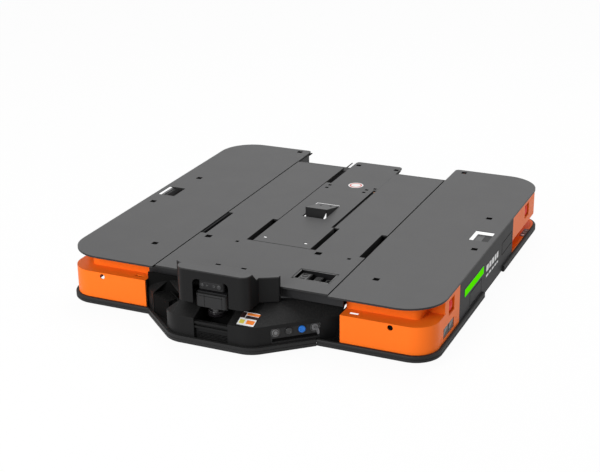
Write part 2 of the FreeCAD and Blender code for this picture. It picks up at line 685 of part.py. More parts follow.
def rear_bumper():
    body = new_body("rear_bumper")
    rear, side = "deck_y + half_length", "deck_y + skirt_rear"
    half = [("face_x", "deck_y + face_y"), ("face_x", side), ("half_width", side), ("half_width", rear)]
    pad(body, "z", "ground_gap", "bumper_top", [both_sides(half)])
    round_edges(body, "corner_radius", along("z", ("half_width", rear), ("-half_width", rear)))
    round_edges(body, "face_round", along("z", ("face_x", "deck_y + face_y"), ("-face_x", "deck_y + face_y")))
    round_edges(body, "bumper_height / 5", on_rim(beyond_face))
    groove = corner_groove(1, "-1", "face_y - skirt_rear + 1")
    return grooved(body, groove, mirror("groove_left", groove))


def nose_strip(body, out, back, low, high):
    """A strip round the nose between two offsets of its face."""
    def corner(offset):
        return f"nose_half + ({offset}) * (1 - slope_cos) / slope_sin", f"nose_face - ({offset})"

    def tip(offset):
        return (f"{corner(offset)[0]} + (nose_reach - face_inset + ({offset})) * slope_run / slope_rise",
                "nose_y + nose_reach")
    body.setExpression("Placement.Base.x", ex("-nose_shift"))
    end = [tip(out), ("bumper_turn - face_inset * slope_sin",
                      "nose_y + nose_reach + face_inset * slope_cos")]
    half = [corner(out)] + (end if back == "0" else [tip(out), tip(back)]) + [corner(back)]
    pad(body, "z", low, high, [both_sides(half)])
    for offset in (out, back):
        x, y = corner(offset)
        round_edges(body, f"nose_round + ({offset})", along("z", (x, y), (f"-({x})", y)))
    return body


def nose_bumper():
    body = nose_strip(new_body("nose_bumper"), "face_inset", "0", "ground_gap", "bumper_top")
    groove = nose_strip(new_body("nose_groove"), "face_inset + 2", "face_inset - groove_deep",
                        "groove_low", "groove_low + groove_tall")
    return grooved(body, groove)


node(front_bumper("bumper_turn - nose_shift"), "bumper_front_right")
node(mirror("mirror", front_bumper("bumper_turn + nose_shift")), "bumper_front_left")
node(rear_bumper(), "bumper_rear")
node(nose_bumper(), "bumper_nose")


# ---- nose base ------------------------------------------------------------------------------------

def shift_to_nose(thing, further="0"):
    thing.setExpression("Placement.Base.x", ex(f"-nose_shift - {further}"))
    return thing


def loft(body, sections):
    """A ruled solid through outlines on planes across x."""
    sketches = []
    for level, points in sections:
        sketch = new_sketch(body, "x", level)
        draw_outline(sketch, points)
        sketches.append(sketch)
    feature = body.newObject("PartDesign::AdditiveLoft", "Loft")
    feature.Profile = sketches[0]
    feature.Sections = sketches[1:]
    feature.Ruled = True
    doc.recompute()
    return feature


def nose_sections(inset, low, tail):
    """Side outlines of the nose at its four corners, each moved in by inset."""
    def outline(front, lip, rim, top):
        return [(f"{front} + {inset}", low), (f"{front} + {inset}", f"nose_rim - {inset} * 0.4"),
                (f"{lip} + {inset} * 0.6", f"{top} - {inset}"), (f"{rim} + {tail}", f"{top} - {inset}"),
                (f"{rim} + {tail}", low)]
    middle = outline("nose_face", "nose_face + rim_front", "nose_face + rim_front + rim_flat", "rear_rim")
    reach = "nose_y + nose_reach"
    wing = outline(f"({reach} + wing_front)", f"{reach} + wing_rear", f"{reach} + wing_rear + rim_flat",
                   "wing_rim")
    return [(f"-wing_half - {tail}", wing), (f"-nose_half + {inset} * 0.4", middle),
            (f"nose_half - {inset} * 0.4", middle), (f"wing_half + {tail}", wing)]


def on_slope(side, s, n, z, turned=False):
    """Placement of a part on a diagonal: s from the nose corner, n inward, z up."""
    angle = f"{side} * atan(slope_rise / slope_run)"
    along_s, into_n = f"({s})", f"({n})"
    x = f"{side} * (nose_half + {along_s} * slope_cos - {into_n} * slope_sin) - nose_shift"
    y = f"nose_face + {along_s} * slope_sin + {into_n} * slope_cos"
    turn = f"rotation(vector(0; 0; 1); {angle})"
    if turned:
        turn += " * rotation(vector(1; 0; 0); -90)"
    return ex(f"placement(vector({x}; {y}; {z}); {turn})")


def slope_block(label, side, s, n, z):
    """A box that lies along the right (1) or left (-1) diagonal of the nose."""
    thing = doc.addObject("Part::Box", "Box")
    thing.Label = label
    for prop, (low, high) in zip(("Length", "Width", "Height"), (s, n, z)):
        thing.setExpression(prop, ex(f"({high}) - ({low})"))
    thing.setExpression("Placement", on_slope(side, s[0] if side > 0 else s[1], n[0], z[0]))
    return thing


def slope_rod(label, side, s, n, z, radius):
    """A cylinder square to a diagonal, from depth n[0] to n[1]."""
    thing = doc.addObject("Part::Cylinder", "Rod")
    thing.Label = label
    thing.setExpression("Radius", ex(radius))
    thing.setExpression("Height", ex(f"({n[1]}) - ({n[0]})"))
    thing.setExpression("Placement", on_slope(side, s, n[0], z, turned=True))
    return thing


def strip_room(margin):
    """Span along the right diagonal and height of the control strip, grown by a margin."""
    middle, low = "strip_middle", "deck_height - strip_drop - strip_tall"
    return ((f"{middle} - strip_long / 2 - {margin}", f"{middle} + strip_long / 2 + {margin}"),
            (f"{low} - {margin}", f"{low} + strip_tall + {margin}"))


def nose_solid(label, inset, low, tail):
    """The nose's outer form, or the room inside it when moved in by a wall."""
    form = new_body(label + "_form")
    loft(form, nose_sections(inset, low, tail))
    plan = new_body(label + "_plan")
    corner = f"nose_half - {inset} * 0.4"
    far_x, far_y = f"wing_half + {tail}", f"nose_y + nose_reach + wing_front + {inset}"
    pad(plan, "z", f"{low} - 1", "rear_rim + 1",
        [both_sides([(corner, f"nose_face + {inset}"), (far_x, far_y), (far_x, f"{far_y} + wing_rear")])])
    corners = [(f"{sign}({corner})", f"nose_face + {inset}") for sign in ("", "-")]
    round_edges(plan, f"nose_round - {inset}", along("z", *corners))
    for thing in (form, plan):
        shift_to_nose(thing)
    return common(label, form, plan)


def nose_base():
    outer = nose_solid("nose_outside", "0", "nose_low", "0")
    inner = nose_solid("nose_inside", "nose_wall", "nose_low - 1", "1")
    shell = cut("nose_shell", outer, inner)

    mouth = (("-nose_shift - mouth_half", "mouth_half - nose_shift"),
             ("nose_face - 1", "nose_face + rim_front - 10"), ("nose_low + nose_wall", "rear_rim + 1"))
    tub = block("mouth_tub", *[(f"{low} - nose_wall", f"{high} + nose_wall") for low, high in mouth[:2]],
                ("nose_low", "rear_rim"))
    bay = slope_block("bay_tub", -1, ("bay_start - nose_wall", "bay_end + nose_wall"),
                      ("0", "bay_deep + nose_wall"), ("nose_low", "nose_rim"))
    linings = common("linings", outer, fuse("tubs", tub, bay))
    tabs = [block("tab_right", ("seam_x - 16", "seam_x + 12"),
                  ("nose_y + nose_reach + 73", "nose_y + nose_reach + 109"), ("tube_low - 10", "tube_low")),
            block("tab_left", ("-seam_x - 12", "-seam_x + 16"),
                  ("nose_y + nose_reach + 49", "nose_y + nose_reach + 89"), ("tube_low - 10", "tube_low"))]
    window_s, window_z = strip_room("fit_gap")
    return cut("nose_base", fuse("nose_walls", shell, linings, *tabs),
               block("mouth", *mouth),
               slope_block("bay", -1, ("bay_start", "bay_end"), ("-5", "bay_deep"),
                           ("nose_low + nose_wall", "rear_rim + 1")),
               block("scanner_room", ("-nose_shift - eyes_shift - scan_wide / 2 - 1",
                                      "scan_wide / 2 + 1 - nose_shift - eyes_shift"),
                     ("hood_face", "hood_face + scan_set + scan_deep + 1"), ("scan_low - 2", "rear_rim + 1")),
               slope_block("strip_window", 1, window_s, ("-5", "nose_wall + 5"), window_z),
               block("left_end", ("-nose_shift - wing_half - 5", "-cover_start + fit_gap"),
                     ("nose_y", "deck_y - front_end"), ("0", "deck_height")),
               block("card_slot", ("-nose_shift + 70", "-nose_shift + 112"),
                     ("nose_face + 88", "nose_face + 92"), ("nose_rim", "rear_rim")))


def nose_grille():
    """The set-back plate in the mouth: louvres below, two ridges above."""
    body = new_body("nose_grille")
    front, back = "nose_face + 12", "nose_face + 16"
    half = "mouth_half - fit_gap"
    pad(body, "y", front, back, [box_points(f"-({half})", half, "nose_low + nose_wall", "deck_height - 97")])
    bars = [box_points(f"-({half})", half, f"{low}", f"{low} + {tall}")
            for low, tall in (("deck_height - 105", 8), ("deck_height - 119", 6))]
    pad(body, "y", "nose_face + 3", front, bars)
    slots = [box_points("-(mouth_half - 8)", "mouth_half - 8", f"nose_low + {low}", f"nose_low + {low} + 2.5")
             for low in (8, 13, 18, 23)]
    pocket(body, "y", front, back, slots)
    return shift_to_nose(body)


node(nose_base(), "nose_base")
node(nose_grille(), "nose_grille")


# ---- sensor hood ----------------------------------------------------------------------------------

def hood_plan(inset):
    """Outline of the hood seen from above, moved in by inset."""
    return both_sides([
        (f"hood_half - {inset}", f"hood_face + {inset}"),
        (f"hood_half - {inset}", f"hood_neck + {inset} * 0.36"),
        (f"hood_half + ear_out - {inset}", f"hood_neck + ear_back + {inset} * 0.6"),
        (f"hood_half + ear_out - {inset}", f"hood_rear - {inset}")])


def hood_profile(drop, above=True):
    """Side outline of what lies above (or below) the cap's surface lowered by drop."""
    bend, foot = "hood_face + crown_flat", "hood_face + crown_flat + hood_top - hood_step"
    ends = ("hood_top + 5", "hood_top + 5") if above else ("hood_step - 20", "hood_step - 20")
    return [("hood_face - 1", f"hood_top - {drop}"), (bend, f"hood_top - {drop}"),
            (foot, f"hood_step - {drop}"), ("hood_rear + 1", f"hood_step - {drop}"),
            ("hood_rear + 1", ends[0]), ("hood_face - 1", ends[1])]


def hood_corners(inset="0"):
    return along("z", *[(f"{sign}(hood_half - {inset})", f"hood_face + {inset}") for sign in ("", "-")])


def across_pocket(body, outline):
    """Cuts an outline seen from the side through the full width, both ways."""
    pocket(body, "x", "-hood_half - ear_out - 1", "hood_half + ear_out + 1", [outline])


def sensor_hood():
    """The ring wall that stands over the nose, with the opening the sensors look through."""
    body = new_body("hood_ring")
    pad(body, "z", "rear_rim", "hood_top", [hood_plan("0")])
    round_edges(body, "hood_round", hood_corners())
    across_pocket(body, hood_profile("cap_sheet"))
    inside = new_body("hood_inside")
    pad(inside, "z", "rear_rim - 1", "hood_top + 1", [hood_plan("hood_wall")])
    round_edges(inside, "hood_round - hood_wall", hood_corners("hood_wall"))
    view = new_body("hood_view")
    pad(view, "y", "hood_face - 1", "hood_face + hood_wall + 1",
        [box_points("-view_half", "view_half", "rear_rim - 1", "view_top")])
    round_edges(view, "view_round", along("y", ("view_half", "view_top"), ("-view_half", "view_top")))
    for thing in (body, inside):
        shift_to_nose(thing, "hood_shift")
    shift_to_nose(view, "view_shift")
    return cut("sensor_hood", body, inside, view)


def hood_cap():
    body = new_body("hood_cap")
    pad(body, "z", "hood_step - cap_sheet - 5", "hood_top", [hood_plan("0")])
    round_edges(body, "hood_round", hood_corners())
    across_pocket(body, hood_profile("0"))
    across_pocket(body, hood_profile("cap_sheet", above=False))
    return shift_to_nose(body, "hood_shift")


def sensor_bracket():
    """An angle on the hood's rear wall with an arm to each sensor."""
    def across(half):
        return f"-nose_shift - eyes_shift - {half}", f"{half} - nose_shift - eyes_shift"

    back = "hood_rear - hood_wall"
    plate = block("bracket_plate", across(60), (f"{back} - 4", back), ("rear_rim + 4", "hood_step - 14"))
    arm = block("bracket_arm", across(50), ("eyes_y + 6", back), ("scan_top", "scan_top + 4"))
    post = block("bracket_post", across(30), ("eyes_y + 24", "eyes_y + 28"), ("scan_top", "scan_top + 40"))
    return fuse("sensor_bracket", plate, arm, post)


def scanner_body():
    body = new_body("scanner_body")
    front, half = "hood_face + scan_set", "scan_wide / 2"
    pad(body, "z", "scan_low", "scan_top", [box_points(f"-{half}", half, front, f"{front} + scan_deep")])
    round_edges(body, "12", along("z", *[(f"{sign}scan_wide / 2", front) for sign in ("", "-")]))
    pocket(body, "z", "scan_low", "scan_low + 4", circles=[("0", "dome_y")], radius="dome_radius + fit_gap")
    return shift_to_nose(body, "eyes_shift")


def scanner_dome():
    body = new_body("scanner_dome")
    low, high = "scan_low - dome_tall", "scan_low + 4"
    revolve(body, [("0", low), ("dome_radius - 5", low), ("dome_radius", f"{low} + 5"),
                   ("dome_radius", f"{low} + 16"), ("dome_radius - 5", f"{low} + 19"),
                   ("dome_radius - 5", f"{low} + 28"), ("dome_radius", f"{low} + 31"),
                   ("dome_radius", high), ("0", high)])
    shift_to_nose(body, "eyes_shift")
    body.setExpression("Placement.Base.y", ex("dome_y"))
    return body


def depth_camera():
    """A camera bar with three round lenses set in its face."""
    body = new_body("depth_camera")
    low, high = "deck_height + 1", "deck_height + 30"
    pad(body, "z", low, high, [box_points("-44", "44", "eyes_y", "eyes_y + 24")])
    ends = [(f"{sign}44", spot) for sign in ("", "-") for spot in ("eyes_y", "eyes_y + 24")]
    round_edges(body, "10", along("z", *ends))
    middle = "deck_height + 15.5"
    pocket(body, "y", "eyes_y", "eyes_y + 2", circles=[("-26", middle), ("26", middle)], radius="8")
    pocket(body, "y", "eyes_y", "eyes_y + 2", circles=[("0", middle)], radius="5")
    return shift_to_nose(body, "eyes_shift")


node(sensor_hood(), "sensor_hood")
node(hood_cap(), "hood_cap")
node(sensor_bracket(), "sensor_bracket")
node(scanner_body(), "scanner_body")
node(scanner_dome(), "scanner_dome")
node(depth_camera(), "depth_camera")


# ---- controls -------------------------------------------------------------------------------------

KEYS = {"power_button": "-1.5", "mode_button": "-0.5", "reset_button": "0.5", "key_switch": "1.5"}


def key_place(name):
    """Distance along the diagonal and height of a push button or of the key switch."""
    return f"strip_middle + {KEYS[name]} * key_pitch", "deck_height - strip_drop - 13"


def control_panel():
    """The strip's face with a hole for each button, and the dark slot below them."""
    room_s, room_z = strip_room("0")
    solid = slope_block("panel_solid", 1, room_s, ("2", "2 + strip_deep"), room_z)
    low = "deck_height - strip_drop - strip_tall"
    tools = [slope_block("panel_slot", 1, tuple(f"{edge} {step} 6" for edge, step in zip(room_s, "+-")),
                         ("1", "8"), (f"{low} + 5", f"{low} + 17"))]
    tools += [slope_rod(f"hole_{name}", 1, key_place(name)[0], ("1", "3 + strip_deep"), key_place(name)[1],
                        "push_radius + run_gap") for name in KEYS]
    return cut("control_panel", solid, *tools)


def push_button(name):
    """A round cap with a thinner shank behind it."""
    s, z = key_place(name)
    cap = slope_rod(name + "_cap", 1, s, ("-2", "strip_deep"), z, "push_radius")
    shank = slope_rod(name + "_shank", 1, s, ("strip_deep", "strip_deep + 12"), z, "push_radius - 5")
    return fuse(name + "_form", cap, shank)


def key_switch():
    s, z = key_place("key_switch")
    drum = slope_rod("key_drum", 1, s, ("0", "strip_deep + 8"), z, "push_radius")
    blade = slope_block("key_blade", 1, (f"{s} - 1.5", f"{s} + 1.5"), ("-20", "2"),
                        (f"{z} - 3.5", f"{z} + 3.5"))
    bow = slope_rod("key_bow", 1, s, ("-1.5", "1.5"), z, "10")
    bow.setExpression("Placement", on_slope(1, f"{s} - 1.5", "-27", z) + " * placement(vector(0; 0; 0); "
                      "rotation(vector(0; 1; 0); 90))")
    eye = slope_rod("key_eye", 1, s, ("-1.5", "1.5"), z, "3")
    eye.setExpression("Height", "5")
    eye.setExpression("Placement", on_slope(1, f"{s} - 2.5", "-30", z) + " * placement(vector(0; 0; 0); "
                      "rotation(vector(0; 1; 0); 90))")
    return cut("key_form", fuse("key_solid", drum, blade, bow), eye)


def switch_bodies():
    """The contact blocks behind the strip; each button's shank runs in one of them."""
    blocks, bores = [], []
    for name in KEYS:
        s, z = key_place(name)
        blocks.append(slope_block(f"switch_{name}", 1, (f"{s} - 15", f"{s} + 15"),
                                  ("2 + strip_deep", "strip_deep + 34"), (f"{z} - 15", f"{z} + 15")))
        wide = name == "key_switch"
        bores.append(slope_rod(f"bore_{name}", 1, s, ("strip_deep + 1", "strip_deep + 20"), z,
                               "push_radius + run_gap" if wide else "push_radius - 5 + run_gap"))
        if not wide:
            bores.append(slope_rod(f"mouth_{name}", 1, s, ("strip_deep + 1", "strip_deep + 6"), z,
                                   "push_radius + run_gap"))
    return cut("switches", group("switch_blocks", *blocks), *bores)


node(control_panel(), "control_panel")
node(key_switch(), "key_switch")
for button in ("power_button", "mode_button", "reset_button"):
    node(push_button(button), button)
node(switch_bodies(), "control_switches")


# ---- emergency stops ------------------------------------------------------------------------------

def stop_cup(name, middle):
    """A square cup in a cover's window with the contact block behind it."""
    edge = "cup_half - fit_gap"
    cup = block(f"cup_{name}", ("face_x - cup_deep - 3", "face_x - 0.5"),
                (f"{middle} - ({edge})", f"{middle} + {edge}"), ("stop_z - 25.7", "stop_z + 25.7"))
    room = block(f"cup_room_{name}", ("face_x - cup_deep", "face_x + 1"),
                 (f"{middle} - cup_half + 2.5", f"{middle} + cup_half - 2.5"), ("stop_z - 23", "stop_z + 23"))
    back = block(f"cup_back_{name}", ("face_x - cup_deep - 30", "face_x - cup_deep - 3"),
                 (f"{middle} - 16", f"{middle} + 16"), ("stop_z - 16", "stop_z + 16"))
    bore = rod(f"cup_bore_{name}", "x", ("face_x - cup_deep - 26", middle, "stop_z"), "cup_deep + 26",
               "stop_stem + run_gap")
    return cut(f"stop_cup_{name}", fuse(f"cup_solid_{name}", cup, back), room, bore)


def stop_button(name, side, middle):
    """A mushroom head on a stem; it turns outward on its own side of the vehicle."""
    body = new_body(f"mushroom_{name}")
    head = "face_x - 16"
    revolve(body, [("0", "-24"), ("stop_stem", "-24"), ("stop_stem", "0"), ("stop_radius - 4", "0"),
                   ("stop_radius", "4"), ("stop_radius", "9"), ("stop_radius - 4", "12.5"), ("0", "14")])
    body.setExpression("Placement", ex(f"placement(vector({side} * ({head}); {middle}; stop_z); "
                                       f"rotation(vector(0; 1; 0); {side} * 90))"))
    return body


cups = [stop_cup("front", "deck_y - stop_front"), stop_cup("rear", "deck_y + stop_rear")]
node(group("cups", *cups, *[mirror("mirror", cup) for cup in cups]), "stop_cups")
for side_name, side in (("right", 1), ("left", -1)):
    node(stop_button(f"f{side}", side, "deck_y - stop_front"), f"stop_button_front_{side_name}")
    node(stop_button(f"r{side}", side, "deck_y + stop_rear"), f"stop_button_rear_{side_name}")


# ---- drive units ----------------------------------------------------------------------------------

def turned(label, points, side, x, y, z, height_sign=1):
    """A revolved part about a crosswise axis; heights grow outward from x."""
    body = new_body(label)
    revolve(body, points)
    body.setExpression("Placement", ex(f"placement(vector({side} * ({x}); {y}; {z}); "
                                       f"rotation(vector(0; 1; 0); {side * height_sign} * 90))"))
    return body


def drive_bracket():
    """A plate under the rail with an upright that carries the gearbox and the wheel shaft."""
    inside = "wheel_x - wheel_width / 2 - 17"
    top = block("bracket_top", ("rail_inner", inside), ("wheel_y - 70", "wheel_y + 70"),
                ("tube_low - 6", "tube_low"))
    body = new_body("bracket_upright")
    pad(body, "x", f"{inside} - bracket_plate", inside,
        [[("wheel_y - 60", "tube_low"), ("wheel_y - 34", "wheel_radius - 52"),
          ("wheel_y + 34", "wheel_radius - 52"), ("wheel_y + 60", "tube_low")]])
    bore = rod("bracket_bore", "x", (f"{inside} - bracket_plate - 1", "wheel_y", "wheel_radius"),
               "bracket_plate + 2", "shaft_radius + run_gap")
    return cut("drive_bracket", fuse("bracket_solid", top, body), bore)


def gearmotor():
    """Gearbox against the upright, motor behind it and its end cover; the gearbox takes the shaft."""
    wall = "wheel_x - wheel_width / 2 - 17 - bracket_plate"
    gear = rod("gearbox", "x", (f"{wall} - gear_long", "wheel_y", "wheel_radius"), "gear_long", "gear_radius")
    can = rod("motor_can", "x", (f"{wall} - gear_long - motor_long", "wheel_y", "wheel_radius"),
              "motor_long", "motor_radius")
    end = f"{wall} - gear_long - motor_long"
    plug = block("motor_plug", (f"{end} + 12", f"{end} + 42"),
                 ("wheel_y + motor_radius - 12", "wheel_y + motor_radius + 12"),
                 ("wheel_radius - 14", "wheel_radius + 14"))
    bore = rod("gear_bore", "x", (f"{wall} - 32", "wheel_y", "wheel_radius"), "34",
               "shaft_radius + run_gap")
    return cut("gearmotor", fuse("gearmotor_solid", gear, can, plug), bore)


def drive_hub(side):
    """A dished hub and its shaft; heights run outward from the shaft's inner end."""
    rim, seat = "wheel_radius - tyre_thick", "55"
    return turned(f"hub_{side}", [
        ("0", "0"), ("shaft_radius", "0"), ("shaft_radius", f"{seat} - 6"), ("26", f"{seat} - 6"),
        ("26", seat), (rim, seat), (rim, f"{seat} + wheel_width"), (f"{rim} - 8", f"{seat} + wheel_width"),
        (f"{rim} - 14", f"{seat} + wheel_width - 16"), ("30", f"{seat} + wheel_width - 16"),
        ("26", f"{seat} + wheel_width - 6"), ("0", f"{seat} + wheel_width - 6")],
        side, "wheel_x - wheel_width / 2 - 55", "wheel_y", "wheel_radius")


def drive_tyre(side):
    rim = "wheel_radius - tyre_thick"
    return turned(f"tyre_{side}", [
        (rim, "0"), ("wheel_radius - 3", "0"), ("wheel_radius", "3"), ("wheel_radius", "wheel_width - 3"),
        ("wheel_radius - 3", "wheel_width"), (rim, "wheel_width")],
        side, "wheel_x - wheel_width / 2", "wheel_y", "wheel_radius")


bracket_right, motor_right = drive_bracket(), gearmotor()
node(group("brackets", bracket_right, mirror("mirror", bracket_right)), "drive_brackets")
node(group("motors", motor_right, mirror("mirror", motor_right)), "gearmotors")
for side_name, side in (("right", 1), ("left", -1)):
    node(drive_hub(side), f"drive_hub_{side_name}")
    node(drive_tyre(side), f"drive_tyre_{side_name}")


# ---- casters --------------------------------------------------------------------------------------

def caster_plate(name, y):
    """Mounting plate with the kingpin, its shoulder and the head that holds the fork."""
    plate = block(f"caster_plate_{name}", ("caster_x - 45", "caster_x + 45"), (f"{y} - 35", f"{y} + 35"),
                  ("plate_low", "tube_low"))
    pin = new_body(f"kingpin_{name}")
    revolve(pin, [("0", "-20"), ("12", "-20"), ("12", "-14.1"), ("8", "-14.1"), ("8", "-3.9"),
                  ("20", "-3.9"), ("20", "3"), ("0", "3")])
    for axis, text in zip("xyz", ("caster_x", y, "plate_low")):
        pin.setExpression(f"Placement.Base.{axis}", ex(text))
    return fuse(f"caster_top_{name}", plate, pin)


def caster_fork(name, x, y):
    """Crown, two trailing arms and the axle."""
    half = "caster_width / 2 + fork_gap"
    reach = "caster_trail"
    crown = rod(f"crown_{name}", "z", (x, y, "plate_low - 14"), "10", "30")
    bore = rod(f"crown_bore_{name}", "z", (x, y, "plate_low - 15"), "12", "8 + run_gap")
    outer = new_body(f"fork_{name}")
    low, top = "caster_radius", "plate_low - 4"
    side = [(f"{y} - 24", f"{top} - 10"), (f"{y} + {reach} - 12", f"{low} - 12"),
            (f"{y} + {reach} + 12", f"{low} - 12"), (f"{y} + {reach} + 12", f"{low} + 12"),
            (f"{y} + 30", top), (f"{y} - 24", top)]
    pad(outer, "x", f"-({half}) - fork_sheet", f"{half} + fork_sheet", [side])
    outer.setExpression("Placement.Base.x", ex(x))
    room = block(f"fork_room_{name}", (f"{x} - ({half})", f"{x} + {half}"), (f"{y} - 60", f"{y} + 90"),
                 ("0", "plate_low - 14"))
    top_bore = rod(f"fork_bore_{name}", "z", (x, y, "plate_low - 15"), "12", "8 + run_gap")
    axle = rod(f"axle_{name}", "x", (f"{x} - ({half}) - fork_sheet - 3", f"{y} + {reach}", "caster_radius"),
               f"2 * ({half} + fork_sheet + 3)", "axle_radius")
    return fuse(f"fork_form_{name}", cut(f"crown_cut_{name}", crown, bore),
                cut(f"fork_cut_{name}", outer, room, top_bore), axle)


def caster_wheel(name, x, y):
    body = new_body(f"roller_{name}")
    half, tread = "caster_width / 2", "caster_radius"
    revolve(body, [
        ("axle_radius + run_gap", f"-({half}) - fork_gap + 0.5"), ("14", f"-({half}) - fork_gap + 0.5"),
        ("18", f"-({half}) + 4"), (f"{tread} - 14", f"-({half}) + 4"), (f"{tread} - 4", f"-({half})"),
        (tread, f"-({half}) + 5"), (tread, f"{half} - 5"), (f"{tread} - 4", half),
        (f"{tread} - 14", f"{half} - 4"), ("18", f"{half} - 4"), ("14", f"{half} + fork_gap - 0.5"),
        ("axle_radius + run_gap", f"{half} + fork_gap - 0.5")])
    body.setExpression("Placement", ex(f"placement(vector({x}; {y} + caster_trail; caster_radius); "
                                       "rotation(vector(0; 1; 0); 90))"))
    return body


CASTERS = [("front_right", "caster_x", "deck_y - rigger_y"), ("front_left", "-caster_x", "deck_y - rigger_y"),
           ("rear_right", "caster_x", "deck_y + rigger_y"), ("rear_left", "-caster_x", "deck_y + rigger_y")]
tops = [caster_plate(name, y) for name, x, y in CASTERS if name.endswith("right")]
node(group("caster_tops", *tops, *[mirror("mirror", top) for top in tops]), "caster_plates")
for name, x, y in CASTERS:
    node(caster_fork(name, x, y), f"caster_fork_{name}")
    node(caster_wheel(name, x, y), f"caster_wheel_{name}")


# ---- power and control boxes ----------------------------------------------------------------------

def battery_pack():
    body = new_body("battery_case")
    near, far = "deck_y - battery_front", "deck_y - battery_rear"
    top = "battery_low + battery_tall"
    pad(body, "z", "battery_low", top, [box_points("-battery_half", "battery_half", near, far)])
    ends = [(f"{sign}battery_half", spot) for sign in ("", "-") for spot in (near, far)]
    round_edges(body, "8", along("z", *ends))
    pocket(body, "z", f"{top} - 2", top, [box_points("-battery_half + 20", "battery_half - 20",
                                                    f"{near} + 20", f"{far} - 20")])
    pad(body, "z", f"{top} - 2", f"{top} + 8", [box_points("-60", "60", f"{far} - 70", f"{far} - 40")])
    return body


def battery_tray():
    """A folded sheet hung from both rails."""
    body = new_body("tray_sheet_form")
    out, low = "battery_half + tray_sheet", "battery_low - tray_sheet"
    outside = [("rail_x", "tube_low"), ("rail_x", "tube_low - tray_sheet"),
               (out, "tube_low - tray_sheet"), (out, low)]
    inside = [("battery_half", "tube_low"), ("battery_half", "battery_low")]
    outline = both_sides(outside) + [(f"-({x})", z) for x, z in inside] + inside[::-1]
    pad(body, "y", "deck_y - battery_front", "deck_y - battery_rear", [outline])
    return body


def controller_box():
    body = new_body("controller_case")
    far = "deck_y + rail_end - 3 * tube - box_set"
    near = f"{far} - box_long"
    left, top = "rail_inner - box_wide", "deck_under - 4"
    pad(body, "z", f"{top} - box_tall", top, [box_points(left, "rail_inner", near, far)])
    for spot in (20, 60, 100, 140):
        plug = box_points(f"{left} + {spot}", f"{left} + {spot} + 26", f"{top} - box_tall + 12",
                          f"{top} - box_tall + 34")
        pad(body, "y", f"{near} - 14", near, [plug])
    return body


node(battery_pack(), "battery_pack")
node(battery_tray(), "battery_tray")
node(controller_box(), "controller_box")


# ---- checks and files -----------------------------------------------------------------------------

doc.recompute()
for thing in doc.Objects:
    if "Invalid" in thing.State or "Error" in thing.State:
        raise RuntimeError(f"{thing.Label} failed: {thing.State}")
for thing in NODES:
    shape = thing.Shape
    if shape.isNull() or not shape.isValid() or not shape.Solids:
        raise RuntimeError(f"{thing.Label} has no valid solid")

os.makedirs("parts", exist_ok=True)
for thing in NODES:
    thing.Shape.exportStep(f"parts/{thing.Label}.step")
    print(f"{thing.Label}: {len(thing.Shape.Solids)} solid(s), {thing.Shape.Volume / 1000:.1f} cm3")
print(f"{len(NODES)} nodes")
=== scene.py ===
from math import cos, pi, radians, sin

import bmesh
import bpy
from mathutils import Euler, Matrix, Vector


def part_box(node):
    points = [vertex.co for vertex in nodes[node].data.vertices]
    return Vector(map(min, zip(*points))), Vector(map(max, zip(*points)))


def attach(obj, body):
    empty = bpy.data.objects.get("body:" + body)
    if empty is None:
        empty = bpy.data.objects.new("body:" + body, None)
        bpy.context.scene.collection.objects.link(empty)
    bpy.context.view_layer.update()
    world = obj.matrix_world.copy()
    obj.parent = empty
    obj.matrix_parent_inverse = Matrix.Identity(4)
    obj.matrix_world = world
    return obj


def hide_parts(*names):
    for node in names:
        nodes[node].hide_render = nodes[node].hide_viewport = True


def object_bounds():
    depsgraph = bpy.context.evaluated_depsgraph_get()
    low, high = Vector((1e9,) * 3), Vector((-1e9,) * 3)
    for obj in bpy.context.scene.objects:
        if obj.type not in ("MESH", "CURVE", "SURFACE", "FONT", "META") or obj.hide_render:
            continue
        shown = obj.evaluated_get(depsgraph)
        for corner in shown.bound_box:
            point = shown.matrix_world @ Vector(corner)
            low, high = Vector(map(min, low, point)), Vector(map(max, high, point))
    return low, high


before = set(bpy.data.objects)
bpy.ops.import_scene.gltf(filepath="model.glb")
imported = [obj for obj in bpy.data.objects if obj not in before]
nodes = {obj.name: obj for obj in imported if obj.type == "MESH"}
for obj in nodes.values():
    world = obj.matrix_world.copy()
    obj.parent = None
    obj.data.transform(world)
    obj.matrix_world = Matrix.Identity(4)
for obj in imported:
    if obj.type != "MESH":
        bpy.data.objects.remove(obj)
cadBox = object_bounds()

# the pieces' sizes are in millimetres; the frame, the finishes and the stage are in metres
mm = 0.001
deckY = sum(corner.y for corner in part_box("deck_plate_right")) / 2
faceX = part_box("side_panel_right")[1].x
floorZ = cadBox[0].z
sides = ((1, "right"), (-1, "left"))
corners = ("front_right", "front_left", "rear_right", "rear_left")


def newPiece(name, bm, body, slot, *finishNames, smooth=35):
    mesh = bpy.data.meshes.new(name)
    bmesh.ops.recalc_face_normals(bm, faces=bm.faces)
    bm.to_mesh(mesh)
    bm.free()
    mesh.shade_smooth()
    mesh.set_sharp_from_angle(angle=radians(smooth))
    for finishName in finishNames:
        mesh.materials.append(finishes[finishName])
    piece = bpy.data.objects.new(name, mesh)
    bpy.context.scene.collection.objects.link(piece)
    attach(piece, body)
    return piece


def at(x, y, z):
    # a place from the middle of the deck, with heights from the floor
    return Vector((x * mm, y * mm + deckY, z * mm + floorZ))


def upright(x, y, z):
    return Matrix.Translation(at(x, y, z))


def moved(matrix, x=0, y=0, z=0):
    # a shift along the matrix's own axes
    return matrix @ Matrix.Translation((x * mm, y * mm, z * mm))


def facing(place, outward):
    # a frame on a place in metres, with its +Z outward
    turn = Vector((0, 0, 1)).rotation_difference(Vector(outward)).to_matrix().to_4x4()
    return Matrix.Translation(place) @ turn


def middleOf(name):
    low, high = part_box(name)
    return (low + high) / 2


